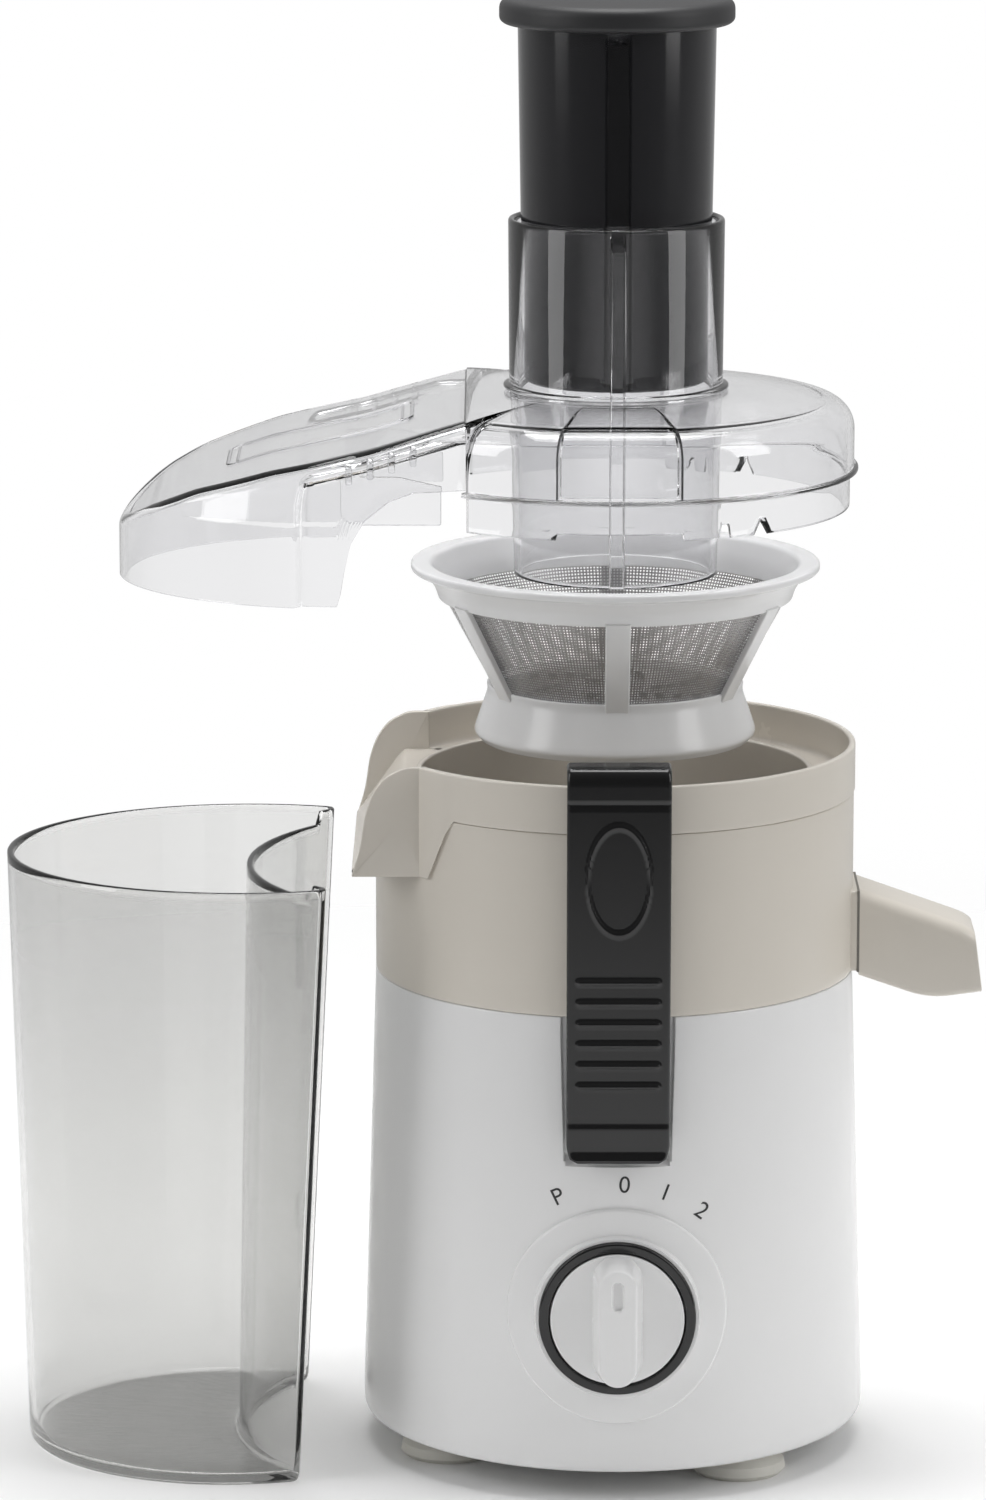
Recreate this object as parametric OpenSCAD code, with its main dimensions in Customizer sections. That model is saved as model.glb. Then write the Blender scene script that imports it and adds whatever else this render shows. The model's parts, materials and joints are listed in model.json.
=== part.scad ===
// Centrifugal juicer, drawn apart: lid, pusher and basket lifted off the bowl, pulp container beside it.
// The origin is on the table under the shaft's axis, +Z up, dial to -Y, container to -X, spout to +X.

/* [Base] */
// Radius of the base near the table
base_r_low = 85; // [84:0.5:87]
// Radius of the base at its top
base_r_top = 80.6; // [80.2:0.1:81]
// Height of the base's underside
base_z = 10; // [9.5:0.5:10.5]
// Height of the seam between base and bowl
seam_z = 164.5; // [164:0.5:165]
// Wall of the base housing
base_wall = 2.6; // [2:0.1:3]

/* [Bowl] */
// Outer radius of the pulp collar
collar_r = 81; // [80.6:0.1:81.2]
// Height of the collar's rim
rim_z = 242; // [241:0.5:243]
// Radius of the juice chamber
chamber_r = 65; // [63:0.5:66]
// Wall of the bowl pieces
bowl_wall = 2.2; // [1.8:0.1:2.6]
// Half width of the pulp beak
beak_half = 49; // [46:0.5:50]

/* [Arms] */
// Width of a locking arm
arm_w = 34; // [30:1:36]
// Angle by which an arm stands open, so that the lid can come down past its nose
arm_ajar = 3; // [2.8:0.1:4]
// Height of an arm's pivot
pivot_z = 122.5; // [121:0.5:124]
// Distance of an arm's pivot from the shaft's axis
pivot_y = 84.5; // [84.2:0.1:85]

/* [Lid] */
// How far the lid is lifted above its seat
lid_lift = 92.2; // [80:1:120]
// Height of the lid's top above its flange
lid_h = 27; // [26:0.5:29]
// Wall of the clear mouldings
lid_wall = 2.2; // [1.8:0.1:2.6]
// Height of the feed tube's mouth above the flange
tube_top = 84; // [70:1:95]
// How far the pusher is lifted out of the feed tube
pusher_lift = 64; // [50:1:80]

/* [Basket] */
// How far the basket is lifted above its seat
basket_lift = 67.5; // [50:0.5:80]
// Outer radius of the basket's rim
basket_r = 68.5; // [67.5:0.1:70]
// Number of ribs round the sieve
rib_count = 6; // [4:1:8]

/* [Dial] */
// Height of the dial's centre
dial_z = 64.3; // [60:0.5:70]
// Outer radius of the dial's bezel
bezel_r = 36.5; // [34:0.5:38]
// Radius of the knob
knob_r = 22.2; // [20:0.1:22.3]

/* [Container] */
// How far the pulp container stands away from its docked place
dock_gap = 35; // [20:1:60]
// Height of the pulp container
cont_h = 204.5; // [195:0.5:205]
// Wall of the pulp container
cont_wall = 2.2; // [1.8:0.1:3]

/* [Hidden] */
$fn = 96;
big = 400;

white = "#E9E9E9";
beige = "#C9C5BD";
black = "#232323";
clear = "#C9CBD0B0";
smoke = "#3C3C3EE0";
steel = "#9DA0A3";
copper = "#B5713C";

edge_r = 9;                          // rounding of the base's lower edge
shoulder_z = base_z + edge_r;        // where the base's straight side starts
pocket_y = 77.4;                     // floor of the recess behind an arm
pocket_half = arm_w / 2 + 1.6;       // half width of that recess
ledge_z = 138;                       // seat of the motor mount
deck_t = 2.6;                        // thickness of the base's top deck
seal_r = 12;                         // hole for the shaft's seal
shaft_r = 4;
pin_r = 1.2;                         // hinge pin of an arm
running = 0.05;                      // radial clearance of a running fit
foot_circle = 62;                    // circle that the feet stand on
foot_angles = [25, 132, 205, 312];
foot_stem_r = 3.9;
screw_turn = 78.5;                   // turns the base plate's screws to lie between the feet
gland_z = 30;                        // height of the cord inlet at the back
gland_bore_r = 3.5;
floor_z = 167;                       // underside of the bowl's floor
floor_t = 2.4;
ring_z = rim_z - 10;                 // top of the chamber's inner ring
shelf_z = rim_z - 13;                // top of the pulp shelf
collar_z = rim_z - 16;               // lower edge of the collar
flange_z = rim_z + 0.2 + lid_lift;   // underside of the lid's flange
tube_low = -35.3;                    // foot of the feed tube below the flange
hood_low = -36;                      // lower edge of the hood below the flange
hood_x = -40;                        // where the hood starts
hood_half = 62;                      // half width of the hood where it starts
hood_end = -86;                      // centre of the hood's round end
hood_a = 80;
hood_b = 73;
body_low = flange_z + tube_low + 0.7 + pusher_lift;  // foot of the pusher
cap_z = flange_z + tube_top + 0.5 + pusher_lift;     // underside of the pusher's cap
up = basket_lift;                    // short name for the basket's lift

function arc(cx, cz, r, a0, a1, n = 6) =
    [for (i = [0:n]) let (a = a0 + (a1 - a0) * i / n) [cx + r * cos(a), cz + r * sin(a)]];

// a ring about the shaft's axis
module ring(r_out, r_in, z0, z1) {
    rotate_extrude() polygon([[r_in, z0], [r_out, z0], [r_out, z1], [r_in, z1]]);
}

// copies a child to n places about the shaft's axis
module around(n, start = 0) {
    for (i = [0:n - 1]) rotate([0, 0, start + 360 * i / n]) children();
}

// lays a plane outline of (x, z) points down as a slab w wide along Y
module slab(w) {
    rotate([90, 0, 0]) linear_extrude(w, center = true) children();
}

// lays a plane outline of (y, z) points down as a slab w wide along X
module cross_slab(w) {
    rotate([90, 0, 90]) linear_extrude(w, center = true) children();
}

// a straight cylinder along Y from y0 to y1
module along_y(r, y0, y1, z = 0, r_end = -1) {
    translate([0, y0, z]) rotate([-90, 0, 0]) cylinder(h = y1 - y0, r1 = r, r2 = r_end < 0 ? r : r_end);
}

// the base's outside as a solid, grown by g
module base_solid(g = 0) {
    rotate_extrude() polygon(concat([[0, base_z]], arc(base_r_low - edge_r, shoulder_z, edge_r + g, -90, 0),
        [[base_r_top + g, seam_z], [0, seam_z]]));
}

// ---------- base ----------

module base_shell() {
    rotate_extrude() polygon(concat(arc(base_r_low - edge_r, shoulder_z, edge_r, -90, 0), [
        [base_r_top, seam_z], [seal_r, seam_z], [seal_r, seam_z - deck_t],
        [base_r_top - base_wall, seam_z - deck_t], [78.8, ledge_z], [71, ledge_z], [71, ledge_z - 3],
        [79, ledge_z - 8], [base_r_low - base_wall, shoulder_z + 1], [78, base_z + 3], [74, base_z + 3],
        [74, base_z]]));
}

module hinge_lug() {
    cross_slab(10) union() {
        translate([pocket_y - 1, pivot_z - 1.8]) square([pivot_y - pocket_y + 1, 3.6]);
        translate([pivot_y, pivot_z]) circle(r = 2.6);
    }
}

module base_half_details() {
    intersection() {
        base_solid();
        translate([-21, 75, 113]) cube([42, pocket_y - 75 + 0.01, seam_z - 113]);
    }
    hinge_lug();
}

module base_housing() color(white) difference() {
    union() {
        difference() {
            base_shell();
            for (m = [0, 1]) mirror([0, m, 0])
                translate([-pocket_half, pocket_y, 115.5]) cube([2 * pocket_half, 20, 60]);
        }
        for (m = [0, 1]) mirror([0, m, 0]) base_half_details();
        intersection() {
            base_solid();
            around(4, screw_turn) union() {
                translate([66, 0, base_z + 3]) cylinder(h = 22, r = 4.5);
                translate([66, -1.5, base_z + 3]) cube([18, 3, 22]);
            }
        }
    }
    around(4, screw_turn) translate([66, 0, base_z + 2]) cylinder(h = 18, r = 1.7);
    around(4, 45) translate([74.5, 0, ledge_z - 7]) cylinder(h = 8, r = 1.7);
    for (m = [0, 1]) mirror([0, m, 0]) translate([-10, pivot_y, pivot_z]) rotate([0, 90, 0])
        cylinder(h = 20, r = pin_r + 0.02);
    along_y(3.4, -big, -70, dial_z);
    along_y(7.05, 70, big, gland_z);
    translate([75.5, -3.5, 156.5]) cube([20, 7, 20]);
}

module base_plate() color("#D8D8D6") difference() {
    translate([0, 0, base_z + 0.2]) cylinder(h = 2.6, r = 73.7);
    for (a = foot_angles) rotate([0, 0, a]) translate([foot_circle, 0, 0]) cylinder(h = 30, r = foot_stem_r + 0.1);
    around(4, screw_turn) translate([66, 0, 0]) cylinder(h = 30, r = 1.8);
    for (x = [-20:8:20]) translate([x - 1.5, -24, 0]) cube([3, 48, 30]);
}

module feet() color("#D9D7CF") for (a = foot_angles) rotate([0, 0, a]) translate([foot_circle, 0, 0])
    rotate_extrude() polygon([[0, 0], [14.5, 0], [16, 1.6], [15.4, 4.6], [12, 8], [11.5, base_z + 0.2],
        [foot_stem_r, base_z + 0.2], [foot_stem_r, base_z + 2.8], [5.2, base_z + 3], [4.4, base_z + 5],
        [0, base_z + 5.4]]);

module base_screws() color(steel) around(4, screw_turn) translate([66, 0, 0]) union() {
    translate([0, 0, base_z - 1.6]) cylinder(h = 1.8, r = 3.4);
    translate([0, 0, base_z]) cylinder(h = 18, r = 1.6);
}

module cord_gland() color("#2A2A2A") difference() {
    union() {
        along_y(7, 76, 92, gland_z);
        along_y(9.5, 85.2, 87.6, gland_z);
    }
    along_y(gland_bore_r, 60, 100, gland_z);
    along_y(gland_bore_r + 0.8, 60, 86, gland_z);
}

// ---------- dial ----------

module dial_bezel() color(white) difference() {
    union() {
        intersection() {
            along_y(bezel_r, -95, -60, dial_z);
            base_solid(1);
        }
        intersection() {
            along_y(27.6, -86.6, -60, dial_z, 50);
            along_y(bezel_r - 1, -95, -60, dial_z);
        }
    }
    base_solid(0.02);
    along_y(knob_r + 3.7, -95, -60, dial_z);
}

module dial_ring() color(black) difference() {
    along_y(knob_r + 3.6, -88.2, -70, dial_z);
    base_solid(0.02);
    along_y(knob_r + 0.4, -95, -60, dial_z);
}

module knob() color(white) difference() {
    union() {
        along_y(knob_r, -88.6, -85, dial_z);
        intersection() {
            along_y(knob_r + 0.8, -100.6, -88.6, dial_z);
            translate([0, 0, dial_z]) rotate([90, 0, 0]) linear_extrude(100.6) polygon(concat(
                arc(0, 15, 7, 10, 170), arc(0, -15.6, 7, 190, 350)));
            translate([0, -100.6, dial_z - 30]) linear_extrude(60)
                polygon([[-6.3, 0], [6.3, 0], [7.4, 12.2], [-7.4, 12.2]]);
        }
    }
    translate([-1.7, -101, dial_z + 7]) cube([3.4, 1, 9.4]);
    along_y(2.5, -94, -80, dial_z);
}

module knob_spindle() color("#D0CEC6") union() {
    along_y(2.5, -94, -85, dial_z);
    along_y(3, -85, -66, dial_z);
}

module rotary_switch() color("#3A3A3C") difference() {
    union() {
        translate([-15, -76, dial_z - 15]) cube([30, 16, 30]);
        for (x = [-9, 0, 9]) translate([x - 2, -60.5, dial_z - 4]) cube([4, 8.5, 0.8]);
    }
    along_y(3 + running, -90, -64, dial_z);
}

// ---------- inside the base ----------

module control_board() color("#2F5A3A") union() {
    translate([-26, 55, 40]) cube([52, 1.6, 42]);
    for (x = [-16, 0]) translate([x, 55.1, 60]) rotate([90, 0, 0]) cylinder(h = 14, r = 6);
    translate([10, 47, 48]) cube([12, 8.1, 14]);
}

module safety_switches() color("#303032") for (m = [0, 1]) mirror([0, m, 0])
    translate([-10, 66, 118]) cube([20, 6.4, 10]);

module motor_mount() color("#B9BBBD") difference() {
    union() {
        intersection() {
            translate([0, 0, ledge_z]) cylinder(h = 3, r = 77);
            translate([-80, -74.6, ledge_z]) cube([160, 149.2, 3]);
        }
        translate([0, 0, ledge_z - 6]) cylinder(h = 10, r = 15);
    }
    translate([0, 0, ledge_z - 7]) cylinder(h = 20, r = 11);
    around(6) translate([50, 0, 0]) cylinder(h = 200, r = 9);
    around(4, 45) translate([74.5, 0, 0]) cylinder(h = 200, r = 1.8);
}

module motor_screws() color(steel) around(4, 45) translate([74.5, 0, 0]) union() {
    translate([0, 0, ledge_z + 3]) cylinder(h = 1.8, r = 2.2);
    translate([0, 0, ledge_z - 6]) cylinder(h = 9, r = 1.6);
}

module motor_bracket() color("#A9ABAD") difference() {
    union() {
        translate([-45, -10, 34]) cube([90, 20, 3]);
        for (m = [0, 1]) mirror([m, 0, 0]) translate([40, -10, 34]) cube([5, 20, ledge_z - 34]);
        translate([0, 0, 34]) cylinder(h = 12, r = 13);
    }
    translate([0, 0, 30]) cylinder(h = 20, r = 9);
}

module lower_bearing() color(steel) ring(9, shaft_r, 37, 44);
module upper_bearing() color(steel) ring(11, shaft_r + running, ledge_z - 5, ledge_z + 3);
module shaft_seal() color("#1E1E1E") ring(seal_r, shaft_r + 0.4, seam_z - deck_t, seam_z + 1);

module stator_core() color("#7E8082") difference() {
    intersection() {
        translate([0, 0, 72]) cylinder(h = 32, r = 40);
        translate([-45, -32, 72]) cube([90, 64, 32]);
    }
    translate([0, 0, 70]) cylinder(h = 40, r = 21.6);
}

module field_coils() color(copper) {
    ring(31, 22.5, 62, 72);
    ring(31, 22.5, 104, 114);
}

module brush_holders() color("#B8A36A") for (m = [0, 1]) mirror([m, 0, 0]) difference() {
    translate([14, -6, 50]) cube([26, 12, 10]);
    translate([10, -4.1, 51.9]) cube([24, 8.2, 6.2]);
}

module brushes() color("#262626") for (m = [0, 1]) mirror([m, 0, 0])
    translate([11.3, -4, 52]) cube([14, 8, 6]);

// ---------- rotor ----------

module motor_shaft() color(steel) translate([0, 0, 36]) cylinder(h = 140, r = shaft_r);
module armature_core() color("#6F7173") ring(21, shaft_r, 72, 104);
module commutator() color(copper) ring(11, shaft_r, 50, 60);

module armature_winding() color(copper) {
    ring(17, shaft_r, 62, 72);
    ring(17, shaft_r, 104, 114);
}

module cooling_fan() color("#2B2B2B") union() {
    ring(8, shaft_r, 117, 129);
    ring(34, 7, 117, 118.6);
    around(9) translate([7, -0.8, 118]) cube([26, 1.6, 10]);
}

module splines(r, w, h) {
    linear_extrude(h) union() {
        circle(r = r);
        around(6) translate([0, -w / 2]) square([r + 2.2, w]);
    }
}

module drive_coupling() color("#2E2E30") difference() {
    translate([0, 0, 166.5]) splines(11, 3, 19.5);
    translate([0, 0, 160]) cylinder(h = 16, r = shaft_r);
}

// ---------- bowl ----------

module arm_flats(y) for (m = [0, 1]) mirror([0, m, 0])
    translate([-pocket_half, y, 100]) cube([2 * pocket_half, 20, 200]);

module bowl_seal() color("#8F8C86") ring(73, 70, seam_z, floor_z);

module juice_bowl() color(beige) {
    out = base_r_top;
    difference() {
        union() {
            rotate_extrude() polygon([[17, floor_z], [out - bowl_wall, floor_z], [out - bowl_wall, seam_z],
                [out, seam_z], [out, collar_z], [out - bowl_wall, collar_z],
                [out - bowl_wall, floor_z + floor_t], [19.2, floor_z + floor_t], [19.2, 173.5],
                [17, 173.5]]);
            difference() {
                translate([74, -15, seam_z + 0.2]) cube([7.5, 30, 28]);
                translate([66, -15, floor_z]) cube([10, 30, 25.7]);
            }
            translate([76, -3, 157]) cube([5.4, 6, 12]);
        }
        arm_flats(79.8);
        translate([-100, -beak_half - 0.4, 204.7]) cube([46, 2 * beak_half + 0.8, 60]);
        juice_way();
    }
}

// the way that the juice takes to the spout
module juice_way() translate([50, -12, floor_z + floor_t]) cube([40, 24, 19]);

module chamber_ring() color(beige) difference() {
    ring(chamber_r + 2, chamber_r, floor_z + floor_t, ring_z);
    juice_way();
}

function beak_outline() = [[-62, rim_z], [-70, rim_z], [-77, 238.5], [-81, 233], [-83.4, 226],
    [-85, 214.5], [-88, 205], [-65, 205], [-55, 225], [-55, rim_z]];

module pulp_collar() color(beige) {
    inner = beak_half - bowl_wall;
    hole = chamber_r + 2.4;
    difference() {
        union() {
            difference() {
                rotate_extrude() polygon([[collar_r, collar_z], [collar_r, rim_z],
                    [collar_r - bowl_wall, rim_z], [collar_r - bowl_wall, shelf_z], [hole, shelf_z],
                    [hole, shelf_z - 2], [78.4, shelf_z - 2], [78.4, collar_z]]);
                translate([-100, -inner, 200]) cube([100 - chamber_r - 1, 2 * inner, 60]);
            }
            slab(2 * beak_half) polygon(beak_outline());
        }
        slab(2 * inner) polygon([[-50, shelf_z], [-72, shelf_z], [-88.8, 205.6], [-100, 190],
            [-110, 260], [-50, 260]]);
        slab(2 * inner) polygon([[-50, shelf_z - 2], [-70.8, shelf_z - 2], [-85.6, 206.4], [-85.6, 190],
            [-50, 190]]);
        cylinder(h = big, r = hole);
        arm_flats(79.8);
        // over the shelf the collar is open inside
        translate([0, 0, shelf_z]) cylinder(h = 40, r = collar_r - bowl_wall);
    }
}

module spout_gasket() color("#7D7A74") difference() {
    translate([81.5, -15, seam_z + 0.2]) cube([0.8, 30, 28]);
    juice_way();
}

module juice_spout() color(beige) difference() {
    slab(30) polygon([[82.3, 163], [106, 155], [122, 154.8], [124, 157.6], [121, 178], [119, 179.6],
        [82.3, 192.7]]);
    slab(25.6) polygon([[80, floor_z + floor_t - 1], [84, floor_z + floor_t - 1], [106, 157.4],
        [130, 156.8], [130, 178], [119, 176.8], [82, 189]]);
}

// ---------- locking arms ----------

module arm_pin() color(steel) translate([-16, pivot_y, pivot_z]) rotate([0, 90, 0]) cylinder(h = 32, r = pin_r);
module rear_arm_pin() arm_pin();
module front_arm_pin() mirror([0, 1, 0]) arm_pin();

module closed_arm() {
    difference() {
        union() {
            cross_slab(arm_w) union() {
                polygon(concat([[82, pivot_z], [82, 244.3], [76.3, 244.3]],
                    [[75.5, 245.2], [75.5, 249.4], [77, 251]], arc(84, 247, 4, 90, 0, 4), [[88, pivot_z]]));
                translate([pivot_y, pivot_z]) circle(r = 4.2);
            }
            for (i = [0:5]) translate([-14, 87.9, 142.6 + 7.1 * i]) cube([28, 0.9, 2.4]);
        }
        cross_slab(10.8) union() {
            translate([pivot_y, pivot_z]) circle(r = 3);
            translate([pivot_y - 12, pivot_z - 12]) square([12.8, 15]);
        }
        translate([-30, pivot_y, pivot_z]) rotate([0, 90, 0]) cylinder(h = 60, r = pin_r + running);
    }
}

module rest_arm() translate([0, pivot_y, pivot_z]) rotate([-arm_ajar, 0, 0])
    translate([0, -pivot_y, -pivot_z]) closed_arm();

module arm_rear() color(black) rest_arm();
module arm_front() color(black) mirror([0, 1, 0]) rest_arm();

// ---------- basket ----------

module basket_frame() color(white) difference() {
    rotate_extrude() polygon([[61.5, 235.5 + up], [basket_r, 235.5 + up], [basket_r, 233.2 + up],
        [64, 232.5 + up], [60.5, 227.5 + up], [59.2, 223.6 + up], [43, 193.2 + up], [42.6, 190.5 + up],
        [44.2, 186.5 + up], [47, 181.5 + up], [47.5, 178 + up], [46.2, 175.1 + up], [44.4, 175.1 + up],
        [45.2, 178.5 + up], [44.6, 181.5 + up], [41.5, 186.9 + up], [33, 186.9 + up], [33, 173.1 + up],
        [30.6, 173.1 + up], [30.6, 186.9 + up], [18, 186.9 + up], [18, 174.5 + up], [0, 174.5 + up],
        [0, 191.1 + up], [41, 191.1 + up], [41.2, 193.2 + up], [57.4, 223.6 + up], [58.4, 228.5 + up]]);
    translate([0, 0, 170 + up]) splines(11.4, 3.6, 17.7);
    around(rib_count, 180 / rib_count - 90) translate([0, 0, 194.2 + up])
        linear_extrude(28.6) polygon([[4 / sin(180 / rib_count), 0],
            [90, (90 - 4 / sin(180 / rib_count)) * tan(180 / rib_count)],
            [90, -(90 - 4 / sin(180 / rib_count)) * tan(180 / rib_count)]]);
    around(3) translate([14.5, 0, 180 + up]) cylinder(h = 30, r = 1.25);
}

module mesh_screen() color("#8C8C8E") rotate_extrude()
    polygon([[40.6, 193.3 + up], [41.1, 193.3 + up], [57.3, 223.6 + up], [56.8, 223.6 + up]]);

module cutter_disc() color(steel) difference() {
    union() {
        translate([0, 0, 191.1 + up]) cylinder(h = 1, r = 40.2);
        around(6) for (i = [0:4]) rotate([0, 0, 9 * i]) translate([19 + 4.4 * i, 0, 192 + up])
            rotate([0, 0, 35]) translate([-1.4, -0.4, 0]) cube([2.8, 0.8, 1.5]);
    }
    around(3) translate([14.5, 0, 180 + up]) cylinder(h = 30, r = 1.25);
}

module cutter_rivets() color("#C4C6C8") around(3) translate([14.5, 0, 0]) union() {
    translate([0, 0, 187.6 + up]) cylinder(h = 4.5, r = 1.2);
    translate([0, 0, 192.1 + up]) cylinder(h = 0.9, r = 2.6);
}

// ---------- lid ----------

module lid_solid() rotate_extrude() polygon(concat(
    [[0, -12], [78.2, -12], [78.2, 0], [collar_r, 0], [collar_r, 1.6], [79.6, 2.2]],
    arc(68.6, lid_h - 11, 11, 0, 90), [[0, lid_h]]));

module lid_cover() color(clear) translate([0, 0, flange_z]) difference() {
    union() {
        difference() {
            lid_solid();
            rotate_extrude() polygon(concat([[0, -13], [76, -13], [76, 1], [77.4, 3]],
                arc(68.6, lid_h - 11, 11 - lid_wall, 0, 90), [[0, lid_h - lid_wall]]));
        }
        intersection() {
            lid_solid();
            for (m = [0, 1]) mirror([0, m, 0]) translate([-21.5, 71.2, 0]) cube([43, 20, 30]);
        }
    }
    for (m = [0, 1]) mirror([0, m, 0]) translate([-19.5, 73.2, 1.6]) cube([39, 20, 30]);
    translate([hood_x - 60, -hood_half, -20]) cube([60, 2 * hood_half, 60]);
    cylinder(h = 60, r = 35.5, center = true);
}

function hood_top() = [[hood_x, lid_h], [-83, 16], [-113, 10.6], [-137, 3], [-156, -6], [-162, -13],
    [-164.5, -21], [-165, -32.5], [-166, hood_low]];

// the hood as a solid between its plan, its side outline and its cross-section, moved in by w for the cavity
module hood_solid(w) intersection() {
    translate([w == 0 ? 0 : w, 0, -w]) slab(200) polygon(concat(hood_top(), w == 0
        ? [[hood_end, hood_low], [-83.9, -27], [-81, -14.5], [-76, -7], [-66, -1], [-60, 0], [hood_x, 0]]
        : [[-170, -60], [hood_x, -60]]));
    translate([0, 0, -60]) linear_extrude(120) polygon(concat([[hood_x + w, hood_half - w],
        [-52, hood_half - w]], [for (a = [90:10:270])
        [hood_end + (hood_a - w) * cos(a), (hood_b - w) * sin(a)]], [[-52, w - hood_half],
        [hood_x + w, w - hood_half]]));
    cross_slab(400) polygon([[-hood_half + w, lid_h], [hood_half - w, lid_h], [hood_b - w, -8],
        [hood_b - w, -60], [w - hood_b, -60], [w - hood_b, -8]]);
}

module pulp_hood() color(clear) translate([0, 0, flange_z]) union() {
    difference() {
        hood_solid(0);
        hood_solid(lid_wall);
    }
    // cheeks that lead the pulp from the collar into the beak
    intersection() {
        for (m = [0, 1]) mirror([0, m, 0]) translate([-91, 44.2, -12]) cube([36, 2, 60]);
        union() {
            hood_solid(lid_wall);
            hood_solid(0);
        }
    }
}

module feed_tube() color(clear) translate([0, 0, flange_z]) union() {
    lip = lid_h;
    rotate_extrude() polygon([[34, tube_low], [35.2, lip], [37.5, lip], [37.5, lip + 1.4],
        [35.3, lip + 1.8], [36, tube_top], [33.8, tube_top], [31.8, tube_low]]);
    // the key that guides the pusher
    intersection() {
        translate([-2.25, -35.3, tube_low]) cube([4.5, 6, tube_top - tube_low - 4]);
        rotate_extrude() polygon([[0, tube_low], [33, tube_low], [34.8, tube_top], [0, tube_top]]);
    }
}

// ---------- pusher ----------

module pusher_cap() color("#3A3A3A") translate([0, 0, cap_z]) rotate_extrude()
    polygon([[0, 0], [37.6, 0], [39, 1.6], [39, 6.2], [37, 8], [24, 10.4], [0, 11.4]]);

module pusher_body() color(smoke) {
    difference() {
        union() {
            rotate_extrude() polygon([[0, body_low], [30, body_low], [31, body_low + 1], [32.9, cap_z],
                [30.9, cap_z], [29, body_low + 2.4], [0, body_low + 2.4]]);
            intersection() {
                translate([-6.2, -34, body_low]) cube([12.4, 7.4, cap_z - body_low]);
                rotate_extrude() polygon([[0, body_low], [30, body_low], [31, body_low + 1],
                    [32.9, cap_z], [0, cap_z]]);
            }
        }
        translate([-4.2, -36, body_low - 1]) cube([8.4, 7.4, cap_z - body_low - 3]);
    }
}

// ---------- pulp container ----------

cont_cx = -168;                      // point about which the container's plan tapers
cont_taper = [0.862, 0.917];

// plan of the container's mouth about its taper point, drawn in by w
module cont_plan(w) intersection() {
    translate([-125 - cont_cx, 0]) polygon([for (a = [0:6:354]) [(80 - w) * cos(a), (72 - w) * sin(a)]]);
    translate([-230 - cont_cx, -100]) square([134 - w, 200]);
}

module cont_block(w, low) translate([cont_cx, 0, cont_h]) mirror([0, 0, 1])
    linear_extrude(cont_h - low, scale = cont_taper, slices = 1) cont_plan(w);

// the round hollow that the base fits into
module cont_notch(w) translate([-dock_gap, 0, -1]) cylinder(h = cont_h + 2, r1 = 91 + w, r2 = 87 + w);

module pulp_container() color(clear) difference() {
    cont_block(0, 0);
    cont_notch(0);
    difference() {
        intersection() {
            cont_block(cont_wall, 0);
            translate([-300, -200, 3]) cube([300, 400, big]);
        }
        cont_notch(cont_wall);
    }
    translate([-dock_gap, 0, cont_h - 4.5]) cylinder(h = 20, r = 87 + 2 * cont_wall);
}

base_housing();
base_plate();
feet();
base_screws();
dial_bezel();
dial_ring();
rotary_switch();
control_board();
safety_switches();
cord_gland();
motor_mount();
motor_bracket();
motor_screws();
stator_core();
field_coils();
brush_holders();
brushes();
upper_bearing();
lower_bearing();
shaft_seal();
bowl_seal();
juice_bowl();
chamber_ring();
pulp_collar();
spout_gasket();
juice_spout();
front_arm_pin();
rear_arm_pin();
motor_shaft();
armature_core();
armature_winding();
commutator();
cooling_fan();
drive_coupling();
basket_frame();
mesh_screen();
cutter_disc();
cutter_rivets();
lid_cover();
pulp_hood();
feed_tube();
pusher_cap();
pusher_body();
arm_front();
arm_rear();
knob();
knob_spindle();
pulp_container();
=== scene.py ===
import json
import math

import bmesh
import bpy
import numpy as np
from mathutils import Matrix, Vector


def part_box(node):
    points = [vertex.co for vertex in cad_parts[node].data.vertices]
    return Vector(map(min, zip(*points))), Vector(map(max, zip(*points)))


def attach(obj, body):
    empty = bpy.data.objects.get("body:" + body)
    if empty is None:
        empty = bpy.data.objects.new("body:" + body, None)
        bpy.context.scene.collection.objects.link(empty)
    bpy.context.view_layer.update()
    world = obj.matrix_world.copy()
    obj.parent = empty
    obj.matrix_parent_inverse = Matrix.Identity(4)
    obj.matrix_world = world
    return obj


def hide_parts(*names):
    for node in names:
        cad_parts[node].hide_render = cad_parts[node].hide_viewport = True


print("juicer: loading the frame")
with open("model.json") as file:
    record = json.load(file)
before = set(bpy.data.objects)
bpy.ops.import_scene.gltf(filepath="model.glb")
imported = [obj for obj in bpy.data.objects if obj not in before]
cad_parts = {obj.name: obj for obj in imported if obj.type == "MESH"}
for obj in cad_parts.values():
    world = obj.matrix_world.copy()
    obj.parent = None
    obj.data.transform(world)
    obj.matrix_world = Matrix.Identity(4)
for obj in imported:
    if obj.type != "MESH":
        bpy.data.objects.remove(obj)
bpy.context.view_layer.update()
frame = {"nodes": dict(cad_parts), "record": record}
mm = 0.001  # every size below is in millimetres; meshes are written in metres


def low(node):
    return np.array(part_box(node)[0]) / mm


def high(node):
    return np.array(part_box(node)[1]) / mm


# heights that several pieces share, read from the frame
level = {
    "underside": low("base_housing")[2],
    "seam": high("base_housing")[2],
    "rim": high("pulp_collar")[2],
    "flange": low("lid_cover")[2] + 12,
    "basketTop": high("basket_frame")[2],
    "cap": low("pusher_cap")[2],
    "pusherFoot": low("pusher_body")[2],
    "containerTop": high("pulp_container")[2],
    "dial": (low("dial_bezel")[2] + high("dial_bezel")[2]) / 2,
}

# ---- shapes ----


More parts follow.
